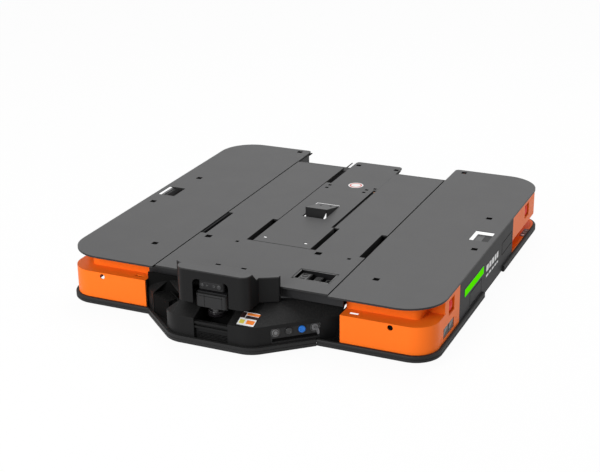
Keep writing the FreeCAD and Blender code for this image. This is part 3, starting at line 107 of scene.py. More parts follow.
def sideOf(name, side):
    # the middle of a node's right or left face
    spot = middleOf(name)
    spot.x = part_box(name)[1 if side > 0 else 0].x
    return spot


def aroundX(centre, shift, radius, count):
    # places on a circle round an axis along X, moved along it
    turns = [2 * pi * n / count for n in range(count)]
    return [centre + Vector((shift, sin(turn) * radius, cos(turn) * radius)) * mm for turn in turns]


def bevelEdges(bm, edges, offset, segments=2):
    if offset:
        bmesh.ops.bevel(bm, geom=list(edges), offset=offset * mm, offset_type="OFFSET", segments=segments,
                        profile=0.5, affect="EDGES", material=-1)


def freshFaces(bm, before):
    return [face for face in bm.faces if face not in before]


def vertsOf(faces):
    return list({vert for face in faces for vert in face.verts})


def edgesOf(verts):
    return {edge for vert in verts for edge in vert.link_edges}


def paint(faces, material):
    for face in faces:
        face.material_index = material


def addBlock(bm, place, size, bevel=0.0):
    # a box round a place in metres
    scale = Matrix.Diagonal((*[length * mm for length in size], 1))
    made = bmesh.ops.create_cube(bm, size=1, matrix=Matrix.Translation(place) @ scale)
    bevelEdges(bm, edgesOf(made["verts"]), bevel)


def addDrum(bm, matrix, radius, height, tip=None, segments=32, bevel=0.0, material=0):
    # a cylinder or cone that stands on the matrix's origin
    made = bmesh.ops.create_cone(bm, cap_ends=True, segments=segments, radius1=radius * mm,
                                 radius2=(radius if tip is None else tip) * mm, depth=height * mm,
                                 matrix=moved(matrix, z=height / 2))
    faces = {face for vert in made["verts"] for face in vert.link_faces}
    paint(faces, material)
    caps = [face for face in faces if len(face.verts) > 4]
    bevelEdges(bm, {edge for face in caps for edge in face.edges}, bevel)


def addTurned(bm, matrix, profile, segments=40, material=0):
    # an outline of radii and heights, spun round the matrix's Z
    before = set(bm.faces)
    verts = [bm.verts.new((radius * mm, 0, height * mm)) for radius, height in profile]
    edges = [bm.edges.new(pair) for pair in zip(verts, verts[1:])]
    bmesh.ops.spin(bm, geom=verts + edges, axis=(0, 0, 1), cent=(0, 0, 0), angle=2 * pi, steps=segments,
                   use_merge=True)
    bmesh.ops.remove_doubles(bm, verts=vertsOf(freshFaces(bm, before)), dist=1e-6)
    fresh = freshFaces(bm, before)
    paint(fresh, material)
    bmesh.ops.transform(bm, matrix=matrix, verts=vertsOf(fresh))


def addPlate(bm, matrix, size, corner=0.0, chamfer=0.0, material=0):
    # a plate that stands on the matrix's origin, with round upright corners
    before = set(bm.faces)
    wide, long, thick = [length * mm for length in size]
    made = bmesh.ops.create_cube(bm, size=1, matrix=Matrix.Diagonal((wide, long, thick, 1)))
    if corner:
        rising = [edge for edge in edgesOf(made["verts"])
                  if abs(edge.verts[0].co.z - edge.verts[1].co.z) > thick / 2]
        bevelEdges(bm, rising, corner, 5)
    if chamfer:
        top = max(freshFaces(bm, before), key=lambda face: face.calc_center_median().z)
        bevelEdges(bm, top.edges, chamfer)
    fresh = freshFaces(bm, before)
    paint(fresh, material)
    bmesh.ops.transform(bm, matrix=moved(matrix, z=size[2] / 2), verts=vertsOf(fresh))


def addRing(bm, matrix, inner, outer, height, chamfer=0.3, segments=40, material=0):
    profile = [(inner, 0), (outer, 0), (outer, height - chamfer), (outer - chamfer, height),
               (inner + chamfer, height), (inner, height - chamfer), (inner, 0)]
    addTurned(bm, matrix, profile, segments, material)


def addScrew(bm, matrix, radius, material=0):
    # a round head with a socket, in shares of its radius
    shares = [(0, 0.1925), (0.42, 0.1925), (0.46, 0.55), (0.8, 0.55), (1, 0.33), (1, 0), (0, 0)]
    addTurned(bm, matrix, [(across * radius, up * radius) for across, up in shares], 20, material)


def addBolt(bm, matrix, radius):
    # a washer and a hexagon head, in shares of its radius
    washer = radius * 0.25
    addRing(bm, matrix, radius * 0.2, radius * 1.25, washer, radius * 0.05, 24)
    addDrum(bm, moved(matrix, z=washer), radius, radius * 0.7, segments=6, bevel=radius * 0.08)


def addHull(bm, points):
    # a faceted solid through the given corners
    bmesh.ops.convex_hull(bm, input=[bm.verts.new(point) for point in points])


def startGroup(name, inputs, outputs):
    group = bpy.data.node_groups.new(name, "ShaderNodeTree")
    for label, value in inputs.items():
        kind = "NodeSocketColor" if isinstance(value, tuple) else "NodeSocketFloat"
        socket = group.interface.new_socket(name=label, in_out="INPUT", socket_type=kind)
        socket.default_value = value
    for label, kind in outputs.items():
        group.interface.new_socket(name=label, in_out="OUTPUT", socket_type="NodeSocket" + kind)
    return group, group.nodes.new("NodeGroupInput").outputs, group.nodes.new("NodeGroupOutput")


def fillInputs(tree, node, values):
    # a value is a plain one, or a socket to link
    for label, value in values.items():
        if isinstance(value, bpy.types.NodeSocket):
            tree.links.new(value, node.inputs[label])
        else:
            node.inputs[label].default_value = value


def addNode(tree, kind, values, **settings):
    made = tree.nodes.new(kind)
    for name, value in settings.items():
        setattr(made, name, value)
    fillInputs(tree, made, values)
    return made.outputs


def addMath(tree, operation, first, second, clamp=False):
    return addNode(tree, "ShaderNodeMath", {0: first, 1: second}, operation=operation, use_clamp=clamp)[0]


def addMix(tree, factor, first, second):
    values = {"Factor": factor, "A": first, "B": second}
    return addNode(tree, "ShaderNodeMix", values, data_type="RGBA")["Result"]


def addNoise(tree, scale, detail, roughness, vector):
    values = {"Scale": scale, "Detail": detail, "Roughness": roughness, "Vector": vector}
    return addNode(tree, "ShaderNodeTexNoise", values)["Fac"]


def objectPlace(tree):
    return addNode(tree, "ShaderNodeTexCoord", {})["Object"]


def upShare(tree, normal):
    # how far a face looks up, by its shading normal or its true one
    outward = addNode(tree, "ShaderNodeNewGeometry", {})[normal]
    return addNode(tree, "ShaderNodeSeparateXYZ", {0: outward})["Z"]


def swingAround(tree, wave, spread, level):
    # a noise turned into a level that swings by a spread
    swing = addMath(tree, "MULTIPLY", addMath(tree, "SUBTRACT", wave, 0.5), spread)
    return addMath(tree, "ADD", level, swing, clamp=True)


def buildGrain():
    group, given, end = startGroup("surfaceGrain", {"Scale": 900.0, "Roughness": 0.5, "Spread": 0.08},
                                   {"Height": "Float", "Roughness": "Float"})
    where = objectPlace(group)
    fine = addNoise(group, given["Scale"], 3.0, 0.6, where)
    broad = addNoise(group, 9.0, 3.0, 0.55, where)
    rough = swingAround(group, broad, given["Spread"], given["Roughness"])
    fillInputs(group, end, {"Height": fine, "Roughness": rough})
    return group


def buildDrift():
    group, given, end = startGroup(
        "toneDrift", {"Colour": (0.5, 0.5, 0.5, 1), "Drift": 0.06, "Dust": 0.03, "Scale": 4.0},
        {"Colour": "Color"})
    where = objectPlace(group)
    wave = addNoise(group, given["Scale"], 4.0, 0.6, where)
    swing = addMath(group, "MULTIPLY", addMath(group, "SUBTRACT", wave, 0.5), given["Drift"])
    level = addMath(group, "ADD", swing, 1.0)
    shade = addNode(group, "ShaderNodeHueSaturation", {"Value": level, "Color": given["Colour"]})
    speck = addNoise(group, 260.0, 2.0, 0.7, where)
    raised = addMath(group, "SUBTRACT", speck, 0.45, clamp=True)
    specks = addMath(group, "MULTIPLY", raised, 4.0, clamp=True)
    up = addMath(group, "MAXIMUM", upShare(group, "Normal"), 0.0)  # dust only lies on what looks up
    film = addMath(group, "MULTIPLY", addMath(group, "MULTIPLY", specks, up), given["Dust"])
    dusty = addMix(group, film, shade["Color"], (0.62, 0.6, 0.56, 1))
    fillInputs(group, end, {"Colour": dusty})
    return group


def buildEdgeWear():
    group, given, end = startGroup("edgeWear", {"Radius": 0.001, "Amount": 0.3},
                                   {"Mask": "Float", "Normal": "Vector"})
    rounded = addNode(group, "ShaderNodeBevel", {"Radius": given["Radius"]}, samples=4)["Normal"]
    sharp = addNode(group, "ShaderNodeNewGeometry", {})["Normal"]
    meet = addNode(group, "ShaderNodeVectorMath", {0: rounded, 1: sharp}, operation="DOT_PRODUCT")
    bend = addMath(group, "SUBTRACT", 1.0, meet["Value"], clamp=True)
    broken = addNoise(group, 140.0, 4.0, 0.7, objectPlace(group))
    mask = addMath(group, "MULTIPLY", addMath(group, "MULTIPLY", bend, broken), 3.0, clamp=True)
    fillInputs(group, end, {"Mask": addMath(group, "MULTIPLY", mask, given["Amount"]), "Normal": rounded})
    return group


# painted shade: a mask that is one on steep faces and nought on level ones, to paint shade on the sides of
# sheets
def buildSteepShade():
    group, given, end = startGroup("steepShade", {"Amount": 1.0}, {"Mask": "Float"})
    flat = addMath(group, "ABSOLUTE", upShare(group, "True Normal"), 0.0)
    steep = addMath(group, "MULTIPLY", addMath(group, "SUBTRACT", 0.8, flat, clamp=True), 2.5, clamp=True)
    fillInputs(group, end, {"Mask": addMath(group, "MULTIPLY", steep, given["Amount"])})
    return group


def buildBrushing():
    group, given, end = startGroup("brushing", {"Scale": 1.0, "Roughness": 0.3},
                                   {"Height": "Float", "Roughness": "Float"})
    stretch = {"Vector": objectPlace(group), "Scale": (1500.0, 1500.0, 40.0)}
    drawn = addNode(group, "ShaderNodeMapping", stretch)["Vector"]
    lines = addNoise(group, given["Scale"], 2.0, 0.6, drawn)
    rough = swingAround(group, lines, 0.35, given["Roughness"])
    fillInputs(group, end, {"Height": lines, "Roughness": rough})
    return group


grainGroup = buildGrain()
driftGroup = buildDrift()
wearGroup = buildEdgeWear()
steepShadeGroup = buildSteepShade()
brushGroup = buildBrushing()
print("effects built")


def useGroup(tree, group, **values):
    return addNode(tree, "ShaderNodeGroup", values, node_tree=group)


def startFinish(name):
    finish = bpy.data.materials.new(name)
    finish.use_nodes = True
    return finish, finish.node_tree, finish.node_tree.nodes["Principled BSDF"]


def bumpOver(tree, pattern, wear, strength, distance):
    # a pattern raised over the rounded edges
    values = {"Strength": strength, "Distance": distance, "Height": pattern["Height"],
              "Normal": wear["Normal"]}
    return addNode(tree, "ShaderNodeBump", values)["Normal"]


def coated(name, colour, roughness=0.5, grainScale=900.0, bump=0.1, drift=0.06, dust=0.02, worn=0.15,
           edge=0.001, wornColour=None, metallic=0.0, coat=0.0, specular=0.5, steepShade=0.0):
    finish, tree, shader = startFinish(name)
    tone = useGroup(tree, driftGroup, Colour=(*colour, 1), Drift=drift, Dust=dust)
    grain = useGroup(tree, grainGroup, Scale=grainScale, Roughness=roughness)
    wear = useGroup(tree, wearGroup, Radius=edge, Amount=worn)
    lighter = wornColour or [min(1.0, channel * 1.6 + 0.02) for channel in colour]
    tint = addMix(tree, wear["Mask"], tone["Colour"], (*lighter, 1))
    if steepShade:  # painted shade: faces that stand steep are painted near black, which darkens the sheets' edges and the flap's front
        steepShadeMask = useGroup(tree, steepShadeGroup, Amount=steepShade)
        tint = addMix(tree, steepShadeMask["Mask"], tint, (0.012, 0.012, 0.0122, 1))
    fillInputs(tree, shader, {
        "Base Color": tint, "Roughness": grain["Roughness"],
        "Normal": bumpOver(tree, grain, wear, bump, 0.0004), "Metallic": metallic,
        "Coat Weight": coat, "Coat Roughness": 0.15, "Specular IOR Level": specular})
    return finish


def metal(name, colour, roughness=0.3):
    finish, tree, shader = startFinish(name)
    tone = useGroup(tree, driftGroup, Colour=(*colour, 1), Drift=0.12, Dust=0.0, Scale=30.0)
    brush = useGroup(tree, brushGroup, Roughness=roughness)
    wear = useGroup(tree, wearGroup, Radius=0.0006, Amount=0.2)
    fillInputs(tree, shader, {
        "Base Color": tone["Colour"], "Roughness": brush["Roughness"],
        "Normal": bumpOver(tree, brush, wear, 0.06, 0.0002), "Metallic": 1.0})
    return finish


def glowFinish(name, colour, glow):
    # a glowing finish with faint bands along Y, for the status lights and for painted backdrop light
    finish, tree, shader = startFinish(name)
    grain = useGroup(tree, grainGroup, Scale=500.0, Roughness=0.35)
    bands = addNode(tree, "ShaderNodeTexWave", {"Scale": 18.0, "Vector": objectPlace(tree)},
                    wave_type="BANDS", bands_direction="Y")
    lit = addMix(tree, bands["Fac"], (*[channel * 0.9 for channel in colour], 1), (*colour, 1))
    dim = addNode(tree, "ShaderNodeHueSaturation", {"Value": 0.2, "Color": lit})
    fillInputs(tree, shader, {
        "Emission Color": lit, "Base Color": dim["Color"], "Roughness": grain["Roughness"],
        "Emission Strength": glow, "Specular IOR Level": 0.0})
    return finish


def printed(name, colour):
    return coated(name, colour, roughness=0.4, bump=0.02, worn=0.0)


finishes = {
    # the deck's finish paints its steep faces near black: painted shade
    "deck": coated("deckCoat", (0.061, 0.061, 0.0622), drift=0.05, edge=0.0012, worn=0.05,
                   specular=0.3, steepShade=0.95),
    "innerSheet": coated("innerSheet", (0.1, 0.1, 0.102), specular=0.3),
    "frame": coated("frameCoat", (0.008, 0.008, 0.009), roughness=0.55, bump=0.15, specular=0.3),
    "orange": coated("orangeCoat", (0.95, 0.17, 0.012), roughness=0.42, bump=0.06, drift=0.04, dust=0.0,
                     worn=0.1, edge=0.0012, wornColour=(1.0, 0.3, 0.07), specular=0.12),
    "panel": coated("panelCoat", (0.036, 0.036, 0.037), roughness=0.6, specular=0.12),
    "nose": coated("noseCoat", (0.006, 0.006, 0.0062), bump=0.08, edge=0.0015, worn=0.08, specular=0.14),
    "bumper": coated("bumperRubber", (0.006, 0.006, 0.0063), roughness=0.6, bump=0.3, grainScale=500.0,
                     edge=0.002, worn=0.1, specular=0.3),
    "socket": coated("socketPlastic", (0.005, 0.005, 0.0055), roughness=0.45, specular=0.3),
    "window": coated("windowGloss", (0.008, 0.007, 0.008), roughness=0.14, bump=0.0, coat=0.3, worn=0.0),
    "eyeWindow": coated("eyeWindowGloss", (0.03, 0.03, 0.031), roughness=0.35, bump=0.0, coat=0.2, worn=0.0),
    "scanner": coated("scannerShell", (0.012, 0.012, 0.0125), roughness=0.42, bump=0.2, grainScale=1400.0,
                      specular=0.3),
    "camera": coated("cameraShell", (0.01, 0.01, 0.0105), specular=0.2),
    "lens": coated("lensGlass", (0.003, 0.003, 0.006), roughness=0.06, bump=0.0, coat=0.6, worn=0.0),
    "strip": coated("stripCoat", (0.014, 0.014, 0.0145), specular=0.2),
    # painted shade: a near-black for sheets set where only shade falls, in holes, slots, gaps and bays; it
    # also colours real dark seams
    "shadeAndSeamBlack": coated("paintedShadeAndSeams", (0.0012, 0.0012, 0.0012), roughness=0.85, worn=0.0, specular=0.1),
    "bezel": coated("bezelGrey", (0.05, 0.05, 0.051), roughness=0.45, specular=0.3),
    "steel": metal("brushedSteel", (0.5, 0.51, 0.52), roughness=0.34),
    "keySteel": coated("keySteel", (0.14, 0.14, 0.145), roughness=0.45, metallic=0.2, specular=0.3),
    "powerCap": coated("powerCap", (0.16, 0.16, 0.162), roughness=0.45, specular=0.3),
    "zinc": metal("zincPlate", (0.5, 0.51, 0.53), roughness=0.38),
    "aluminium": metal("plainAluminium", (0.62, 0.63, 0.65), roughness=0.35),
    "copper": metal("contactCopper", (0.62, 0.3, 0.16), roughness=0.28),
    "motor": coated("motorCast", (0.05, 0.051, 0.053), roughness=0.45, metallic=0.5, bump=0.3,
                    grainScale=700.0),
    "keyBlack": coated("keyBlack", (0.005, 0.005, 0.0055), roughness=0.3, coat=0.2),
    "keyBlue": coated("keyBlue", (0.008, 0.16, 0.6), roughness=0.35, coat=0.15, worn=0.0, specular=0.3),
    "cup": coated("cupCoat", (0.85, 0.15, 0.008), bump=0.06, specular=0.1),
    "stop": coated("stopRed", (0.85, 0.016, 0.01), roughness=0.45, bump=0.02, worn=0.03, specular=0.08,
                   wornColour=(0.9, 0.05, 0.03)),
    "bracket": coated("bracketCoat", (0.012, 0.012, 0.013), bump=0.15),
    "tyre": coated("tyreRubber", (0.008, 0.008, 0.008), roughness=0.75, bump=0.5, grainScale=350.0),
    "tread": coated("casterTread", (0.03, 0.03, 0.032), roughness=0.6, bump=0.3, grainScale=400.0),
    "battery": coated("batteryShell", (0.012, 0.014, 0.017), bump=0.3, grainScale=600.0),
    "white": coated("printWhite", (0.8, 0.8, 0.8), roughness=0.4, bump=0.02, worn=0.0, drift=0.02),
    "printOrange": printed("printOrange", (0.85, 0.22, 0.03)),
    "printYellow": printed("printYellow", (0.7, 0.6, 0.08)),
    "printRed": printed("printRed", (0.6, 0.06, 0.04)),
    "printGrey": printed("printGrey", (0.3, 0.3, 0.3)),
    "printDark": printed("printDark", (0.02, 0.008, 0.008)),
    "green": glowFinish("statusGreen", (0.085, 0.75, 0.0), 0.92),
    # painted light: a white glow for small sheets under gaps and holes, standing in for the bright backdrop
    # seen through them
    "backdropGlow": glowFinish("paintedBackdropGlow", (1.0, 1.0, 1.0), 0.9),
}

# the longest start of a node's name that is listed here gives its finish
nodeFinish = {
    "deck_plate": "deck", "centre_plate": "deck", "spine_cover": "deck", "latch_flap": "deck",
    "hood_cap": "deck", "io_": "socket", "control_switches": "socket", "frame_rails": "frame",
    "cross_members": "frame", "sensor_bracket": "frame", "corner_cover": "orange",
    "side_panel": "panel", "rear_panel": "panel", "status_bars": "green", "sensor_windows": "eyeWindow",
    "scanner_dome": "window", "charge_contacts": "copper", "bumper": "bumper", "nose_": "nose",
    "sensor_hood": "nose", "scanner_body": "scanner", "depth_camera": "camera", "control_panel": "strip",
    "power_button": "powerCap", "key_switch": "keySteel", "mode_button": "keyBlack",
    "reset_button": "keyBlue", "stop_cups": "cup", "stop_button": "stop", "drive_brackets": "bracket",
    "gearmotors": "motor", "drive_hub": "aluminium", "drive_tyre": "tyre", "caster_plates": "zinc",
    "caster_fork": "zinc", "caster_wheel": "tread", "battery_pack": "battery",
    "battery_tray": "aluminium", "controller_box": "aluminium",
}


def finishNodes():
    for name, node in nodes.items():
        start = max((key for key in nodeFinish if name.startswith(key)), key=len)
        node.data.materials.clear()
        node.data.materials.append(finishes[nodeFinish[start]])


finishNodes()
print("nodes finished:", len(nodes))


deckDetail = {
    "under": 194, "sideHole": 20, "sideHoles": [(341, 610), (565, 176), (599, -113), (391, -464)],
    "centreHoles": [(-114, -550, 18), (-23, -550, 18), (-256, -340, 22), (144, -340, 22), (-146, -345, 12),
                    (253, -345, 12), (-78, 290, 12), (-78, 261, 12), (68, 290, 12), (68, 261, 12),
                    (93, 311, 12), (-62, 543, 18), (92, 543, 18)],
    "nutPlate": 2.4, "nutLap": 5, "nutCorner": 3, "nutBore": (3, 5.2, 1.2), "clear": 0.3,
    "sleeve": 0.6, "sleeveTall": 7.8, "sleeveZ": 196,
    "channels": [(94, -175), (-134, -175), (266, -175), (-308, -175)], "channel": (72, 310, 2),
    "channelDrop": 21, "seamShadeThick": 3, "seamShadeDrop": 3.2,
    "seamShades": [(299.5, 145, 5, 980), (-299.5, 145, 5, 980), (98, 90, 14, 400), (-103.5, 150, 3, 860),
              (105, 420, 3, 230)],
}


def buildDeckDetail():
    d = deckDetail
    under, clear, thin = d["under"], d["clear"], d["sleeve"]
    bm = bmesh.new()
    holes = [(x * side, y, d["sideHole"]) for x, y in d["sideHoles"] for side in (1, -1)]
    for x, y, hole in holes + d["centreHoles"]:  # a caged nut below each square hole, a sleeve in it, both near-black; in the sleeves it is painted shade inside the holes
        wide = hole + 2 * d["nutLap"]
        nut = (wide, wide, d["nutPlate"] - clear)
        addPlate(bm, upright(x, y, under - d["nutPlate"]), nut, d["nutCorner"])
        addRing(bm, upright(x, y, under - clear), *d["nutBore"], segments=24)
        half = hole / 2 - clear
        reach = half - thin / 2
        for dx, dy in ((1, 0), (-1, 0), (0, 1), (0, -1)):
            wall = (thin if dx else 2 * half, thin if dy else 2 * half, d["sleeveTall"])
            addBlock(bm, at(x + dx * reach, y + dy * reach, d["sleeveZ"]), wall)
    newPiece("holeNutsAndShadeSleeves", bm, "chassis", "socket_black", "shadeAndSeamBlack")
    bm = bmesh.new()
    for x, y in d["channels"]:  # near-black channel floors below the long slots, as painted shade in the slots
        addPlate(bm, upright(x, y, under - d["channelDrop"]), d["channel"], 2)
    newPiece("slotChannels", bm, "chassis", "frame_black", "shadeAndSeamBlack")
    bm = bmesh.new()
    # painted shade: near-black strips below the seams between the deck's sheets
    for x, y, wide, long in d["seamShades"]:
        addPlate(bm, upright(x, y, under - d["seamShadeDrop"]), (wide, long, d["seamShadeThick"]))
    newPiece("seamShadeStrips", bm, "chassis", "frame_black", "shadeAndSeamBlack")


# each sheet is x from, x to, y from, y to, top
windowDetail = {
    "thick": 1.2, "corner": 0.8, "chamfer": 0.2, "seamThick": 0.5,
    "shelves": [(566, 621, -37.5, 40, 192), (-620, -604, -37.5, 49.5, 196)],
    "backdropGlow": [(556.5, 570, -37.5, 49.5, 198.6), (570, 621.5, 27, 49.5, 198.6),
             (-621.5, -612, -37.5, 49.5, 198.6), (359.5, 386.5, -605.5, -596.5, 139.6),
             (-83.5, -72.5, -278.5, -267.5, 198), (65.5, 76.5, -280.5, -269.5, 198)],
    "flapSeam": [(-44, 41, 94.5, 96.5, 200.4), (-45.5, -43.5, 76, 96.5, 200.4)],
}


def addSheet(bm, x0, x1, y0, y1, top, thick):
    size = (x1 - x0, y1 - y0, thick)
    addPlate(bm, upright((x0 + x1) / 2, (y0 + y1) / 2, top - thick), size, windowDetail["corner"],
             windowDetail["chamfer"])


def buildWindows():
    d = windowDetail
    bm = bmesh.new()
    for sheet in d["shelves"]:
        addSheet(bm, *sheet, d["thick"])
    newPiece("windowShelves", bm, "chassis", "deck_grey", "innerSheet")
    bm = bmesh.new()
    # painted light: glowing white sheets under the window gaps and a few holes, and thin glowing strips along
    # the flap's seam, stand in for the bright backdrop
    for sheet in d["backdropGlow"]:
        addSheet(bm, *sheet, d["thick"])
    for seam in d["flapSeam"]:
        addSheet(bm, *seam, d["seamThick"])
    newPiece("backdropGlowStrips", bm, "chassis", "deck_grey", "backdropGlow")


# each block on the card is x, y, wide, long, finish
stickers = {
    "disc": (13, 322, 200), "discRadius": 28, "discThick": 0.25, "ring": (18, 23), "ink": 0.1,
    "card": (82, -733, 125.4), "cardSize": (56, 56, 0.2), "cardTilt": 20.45,
    "blocks": [(-22, 14, 16, 24, 2), (9, 20, 42, 10, 1), (9, 7, 42, 12, 2), (-16, -13, 16, 16, 3),
               (12, -13, 26, 16, 1)],
    "plate": (621, 462, 52.1), "plateSize": (17, 78, 0.4), "marks": [(-24, 1), (2, 2), (24, 2)],
    "mark": (11, 13),
}


def buildStickers():
    d = stickers
    ink = d["ink"]
    bm = bmesh.new()
    disc = upright(*d["disc"])
    addDrum(bm, disc, d["discRadius"], d["discThick"], segments=48)
    addRing(bm, moved(disc, z=d["discThick"]), *d["ring"], ink, 0, 48, 1)
    newPiece("spineSticker", bm, "chassis", "deck_grey", "white", "printRed")
    bm = bmesh.new()
    card = upright(*d["card"]) @ Matrix.Rotation(radians(d["cardTilt"]), 4, "X")
    addPlate(bm, card, d["cardSize"], 2)
    for x, y, wide, long, material in d["blocks"]:  # plain colour fields
        addPlate(bm, moved(card, x, y, d["cardSize"][2]), (wide, long, ink), 1, material=material)
    newPiece("noseSticker", bm, "chassis", "nose_black", "white", "printOrange", "printDark", "printYellow")
    bm = bmesh.new()
    x, y, z = d["plate"]
    for side in (1, -1):
        plate = upright(x * side, y, z)
        addPlate(bm, plate, d["plateSize"], 1)
        for step, material in d["marks"]:
            addPlate(bm, moved(plate, y=step, z=d["plateSize"][2]), (*d["mark"], ink), 1, material=material)
    newPiece("ledgePlates", bm, "chassis", "cover_orange", "printDark", "white", "printGrey")


# bar and hatches are y from, y to, z from, z to
panelDetail = {
    "bar": (-304, -96, 113, 138), "hatches": [(-245, -114, 53, 103), (126, 255, 91, 136)],
    "groove": (1.5, 1.2), "sheet": 3, "foot": 24, "footBevel": 0.4,
    "stripes": [(-62, -34), (-26, -2), (6, 30), (38, 58), (64, 82)], "stripeRows": [(104, 126), (84, 92)],
    "frameGap": 1.6, "frameBar": 2, "frameLap": (6, 3), "frameThick": 0.8,
    "panelShadeStrip": (5, 0.3), "panelShadeStart": -490,
}


def onSide(side, y, z):
    # on the outer face of a side panel, looking outwards
    place = at(0, y, z)
    place.x = side * faceX
    return facing(place, (side, 0, 0))


def inBox(bm, box):
    first, last = at(0, box[0], box[2]), at(0, box[1], box[3])
    middles = [(face, face.calc_center_median()) for face in bm.faces]
    return [face for face, middle in middles
            if first.y < middle.y < last.y and first.z < middle.z < last.z]


def cutPanel(bm, side, middle, wide, tall):
    # a sheet with a window for the bar, and a groove round each hatch
    d = panelDetail
    bmesh.ops.create_grid(bm, x_segments=1, y_segments=1, size=0.5)
    turn = Matrix(((0, 0, side, 0), (side, 0, 0, 0), (0, 1, 0, 0), (0, 0, 0, 1)))
    stand = Matrix.Translation(middle) @ turn @ Matrix.Diagonal((wide, tall, 1, 1))
    bmesh.ops.transform(bm, verts=bm.verts, matrix=stand)
    boxes = [d["bar"]] + d["hatches"]
    cuts = [(Vector((0, 1, 0)), at(0, y, 0)) for box in boxes for y in box[:2]]
    cuts += [(Vector((0, 0, 1)), at(0, 0, z)) for box in boxes for z in box[2:]]
    for normal, place in cuts:
        bmesh.ops.bisect_plane(bm, geom=bm.verts[:] + bm.edges[:] + bm.faces[:], plane_co=place,
                               plane_no=normal)
    bmesh.ops.delete(bm, geom=inBox(bm, d["bar"]), context="FACES")
    bmesh.ops.solidify(bm, geom=bm.faces[:], thickness=d["sheet"] * mm)
    groove, deep = d["groove"]
    for box in d["hatches"]:
        skin = [face for face in inBox(bm, box) if abs(face.calc_center_median().x - middle.x) < 1e-5]
        for depth in (-deep, deep):
            made = bmesh.ops.inset_region(bm, faces=skin, thickness=groove * mm, depth=depth * mm,
                                          use_even_offset=True)
            paint(made["faces"], 1)


def buildSidePanel(side, word):
    d = panelDetail
    low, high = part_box("side_panel_" + word)
    middle = (low + high) / 2
    middle.x = side * faceX
    title = word.title()
    bm = bmesh.new()
    cutPanel(bm, side, middle, high.y - low.y, high.z - low.z)
    foot, sheet = d["foot"], d["sheet"]
    shelf = Vector((middle.x - side * foot / 2 * mm, middle.y, low.z + sheet / 2 * mm))
    addBlock(bm, shelf, (foot, (high.y - low.y) / mm, sheet), d["footBevel"])
    panel = newPiece("sidePanel" + title, bm, "chassis", "panel_dark", "panel", "shadeAndSeamBlack")
    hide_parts("side_panel_" + word)
    bm = bmesh.new()
    for first, last in d["stripes"]:  # two plain rows of bars
        for z0, z1 in d["stripeRows"]:
            bar = onSide(side, (first + last) / 2, (z0 + z1) / 2)
            addPlate(bm, bar, (z1 - z0, last - first, 0.1), 2)
    newPiece("sideBars" + title, bm, "chassis", "panel_dark", "white")
    bm = bmesh.new()
    first, last, z0, z1 = d["bar"]
    gap, bar = d["frameGap"], d["frameBar"]
    y, z = (first + last) / 2, (z0 + z1) / 2
    wide, tall = last - first + d["frameLap"][0], z1 - z0 + d["frameLap"][1]
    for place, across, up in ((onSide(side, y, z0 - gap), wide, bar), (onSide(side, y, z1 + gap), wide, bar),
                              (onSide(side, first - gap, z), bar, tall),
                              (onSide(side, last + gap, z), bar, tall)):
        addPlate(bm, place, (up, across, d["frameThick"]), 0.5, 0.3)
    newPiece("barFrame" + title, bm, "chassis", "panel_dark", "socket")
    # painted shade: a near-black strip along the panel's top stands in for the shadow in the gap under the
    # deck's edge
    bm = bmesh.new()
    start = at(0, d["panelShadeStart"], 0).y
    tall, thick = d["panelShadeStrip"]
    place = Vector((middle.x, (start + high.y) / 2, high.z - tall / 2 * mm))
    addPlate(bm, facing(place, (side, 0, 0)), (tall, (high.y - start) / mm, thick))
    newPiece("topShadeStrip" + title, bm, "chassis", "panel_dark", "shadeAndSeamBlack")


eyeDetail = {"wide": 103.4, "divider": 3, "dividerThick": 0.6, "dividerEnds": 4, "lensEdges": (8, 9),
             "lensThick": 0.5, "lensCorner": 3, "chamfer": 0.2}


def buildEyes():
    d = eyeDetail
    low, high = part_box("sensor_windows")
    tall, wide = (high.z - low.z) / mm, d["wide"]
    bm = bmesh.new()
    for side in (1, -1):
        base = facing(sideOf("sensor_windows", side), (side, 0, 0))
        addPlate(bm, base, (tall - d["dividerEnds"], d["divider"], d["dividerThick"]), 0, d["chamfer"])
        lens = (tall - d["lensEdges"][0], wide / 2 - d["lensEdges"][1], d["lensThick"])
        for step in (-1, 1):
            addPlate(bm, moved(base, y=step * wide / 4), lens, d["lensCorner"], d["chamfer"], 1)
    newPiece("eyeLenses", bm, "chassis", "window_black", "socket", "eyeWindow")


# rings are inner, outer, height, chamfer, segments
stopDetail = {
    "marks": 3, "mark": (7, 2.4, 0.8), "markRadius": 11, "markSink": 1.4,
    "rim": (18.5, 20.3, 2.2, 0.6, 48), "rimSink": 8.5, "collar": (9.8, 16, 1.4, 0.4, 40), "collarSink": 21.8,
}


def buildStops():
    d = stopDetail
    for word in corners:
        side = 1 if word.endswith("right") else -1
        place = sideOf("stop_button_" + word, side)
        crown = facing(place, (side, 0, 0))
        bm = bmesh.new()
        for n in range(d["marks"]):  # raised grip marks round the crown
            turned = moved(crown, z=-d["markSink"]) @ Matrix.Rotation(2 * pi * n / d["marks"], 4, "Z")
            addPlate(bm, moved(turned, y=d["markRadius"]), d["mark"], 1, 0.3)
        addRing(bm, moved(crown, z=-d["rimSink"]), *d["rim"])
        newPiece("stopMarks_" + word, bm, "stop_" + word, "stop_red", "stop")
        bm = bmesh.new()
        place.x = side * (faceX - d["collarSink"] * mm)
        addRing(bm, facing(place, (side, 0, 0)), *d["collar"])
        newPiece("stopCollar_" + word, bm, "chassis", "socket_black", "socket")


slope = {"run": 218, "rise": 193, "half": 134, "shift": 30, "face": -768}


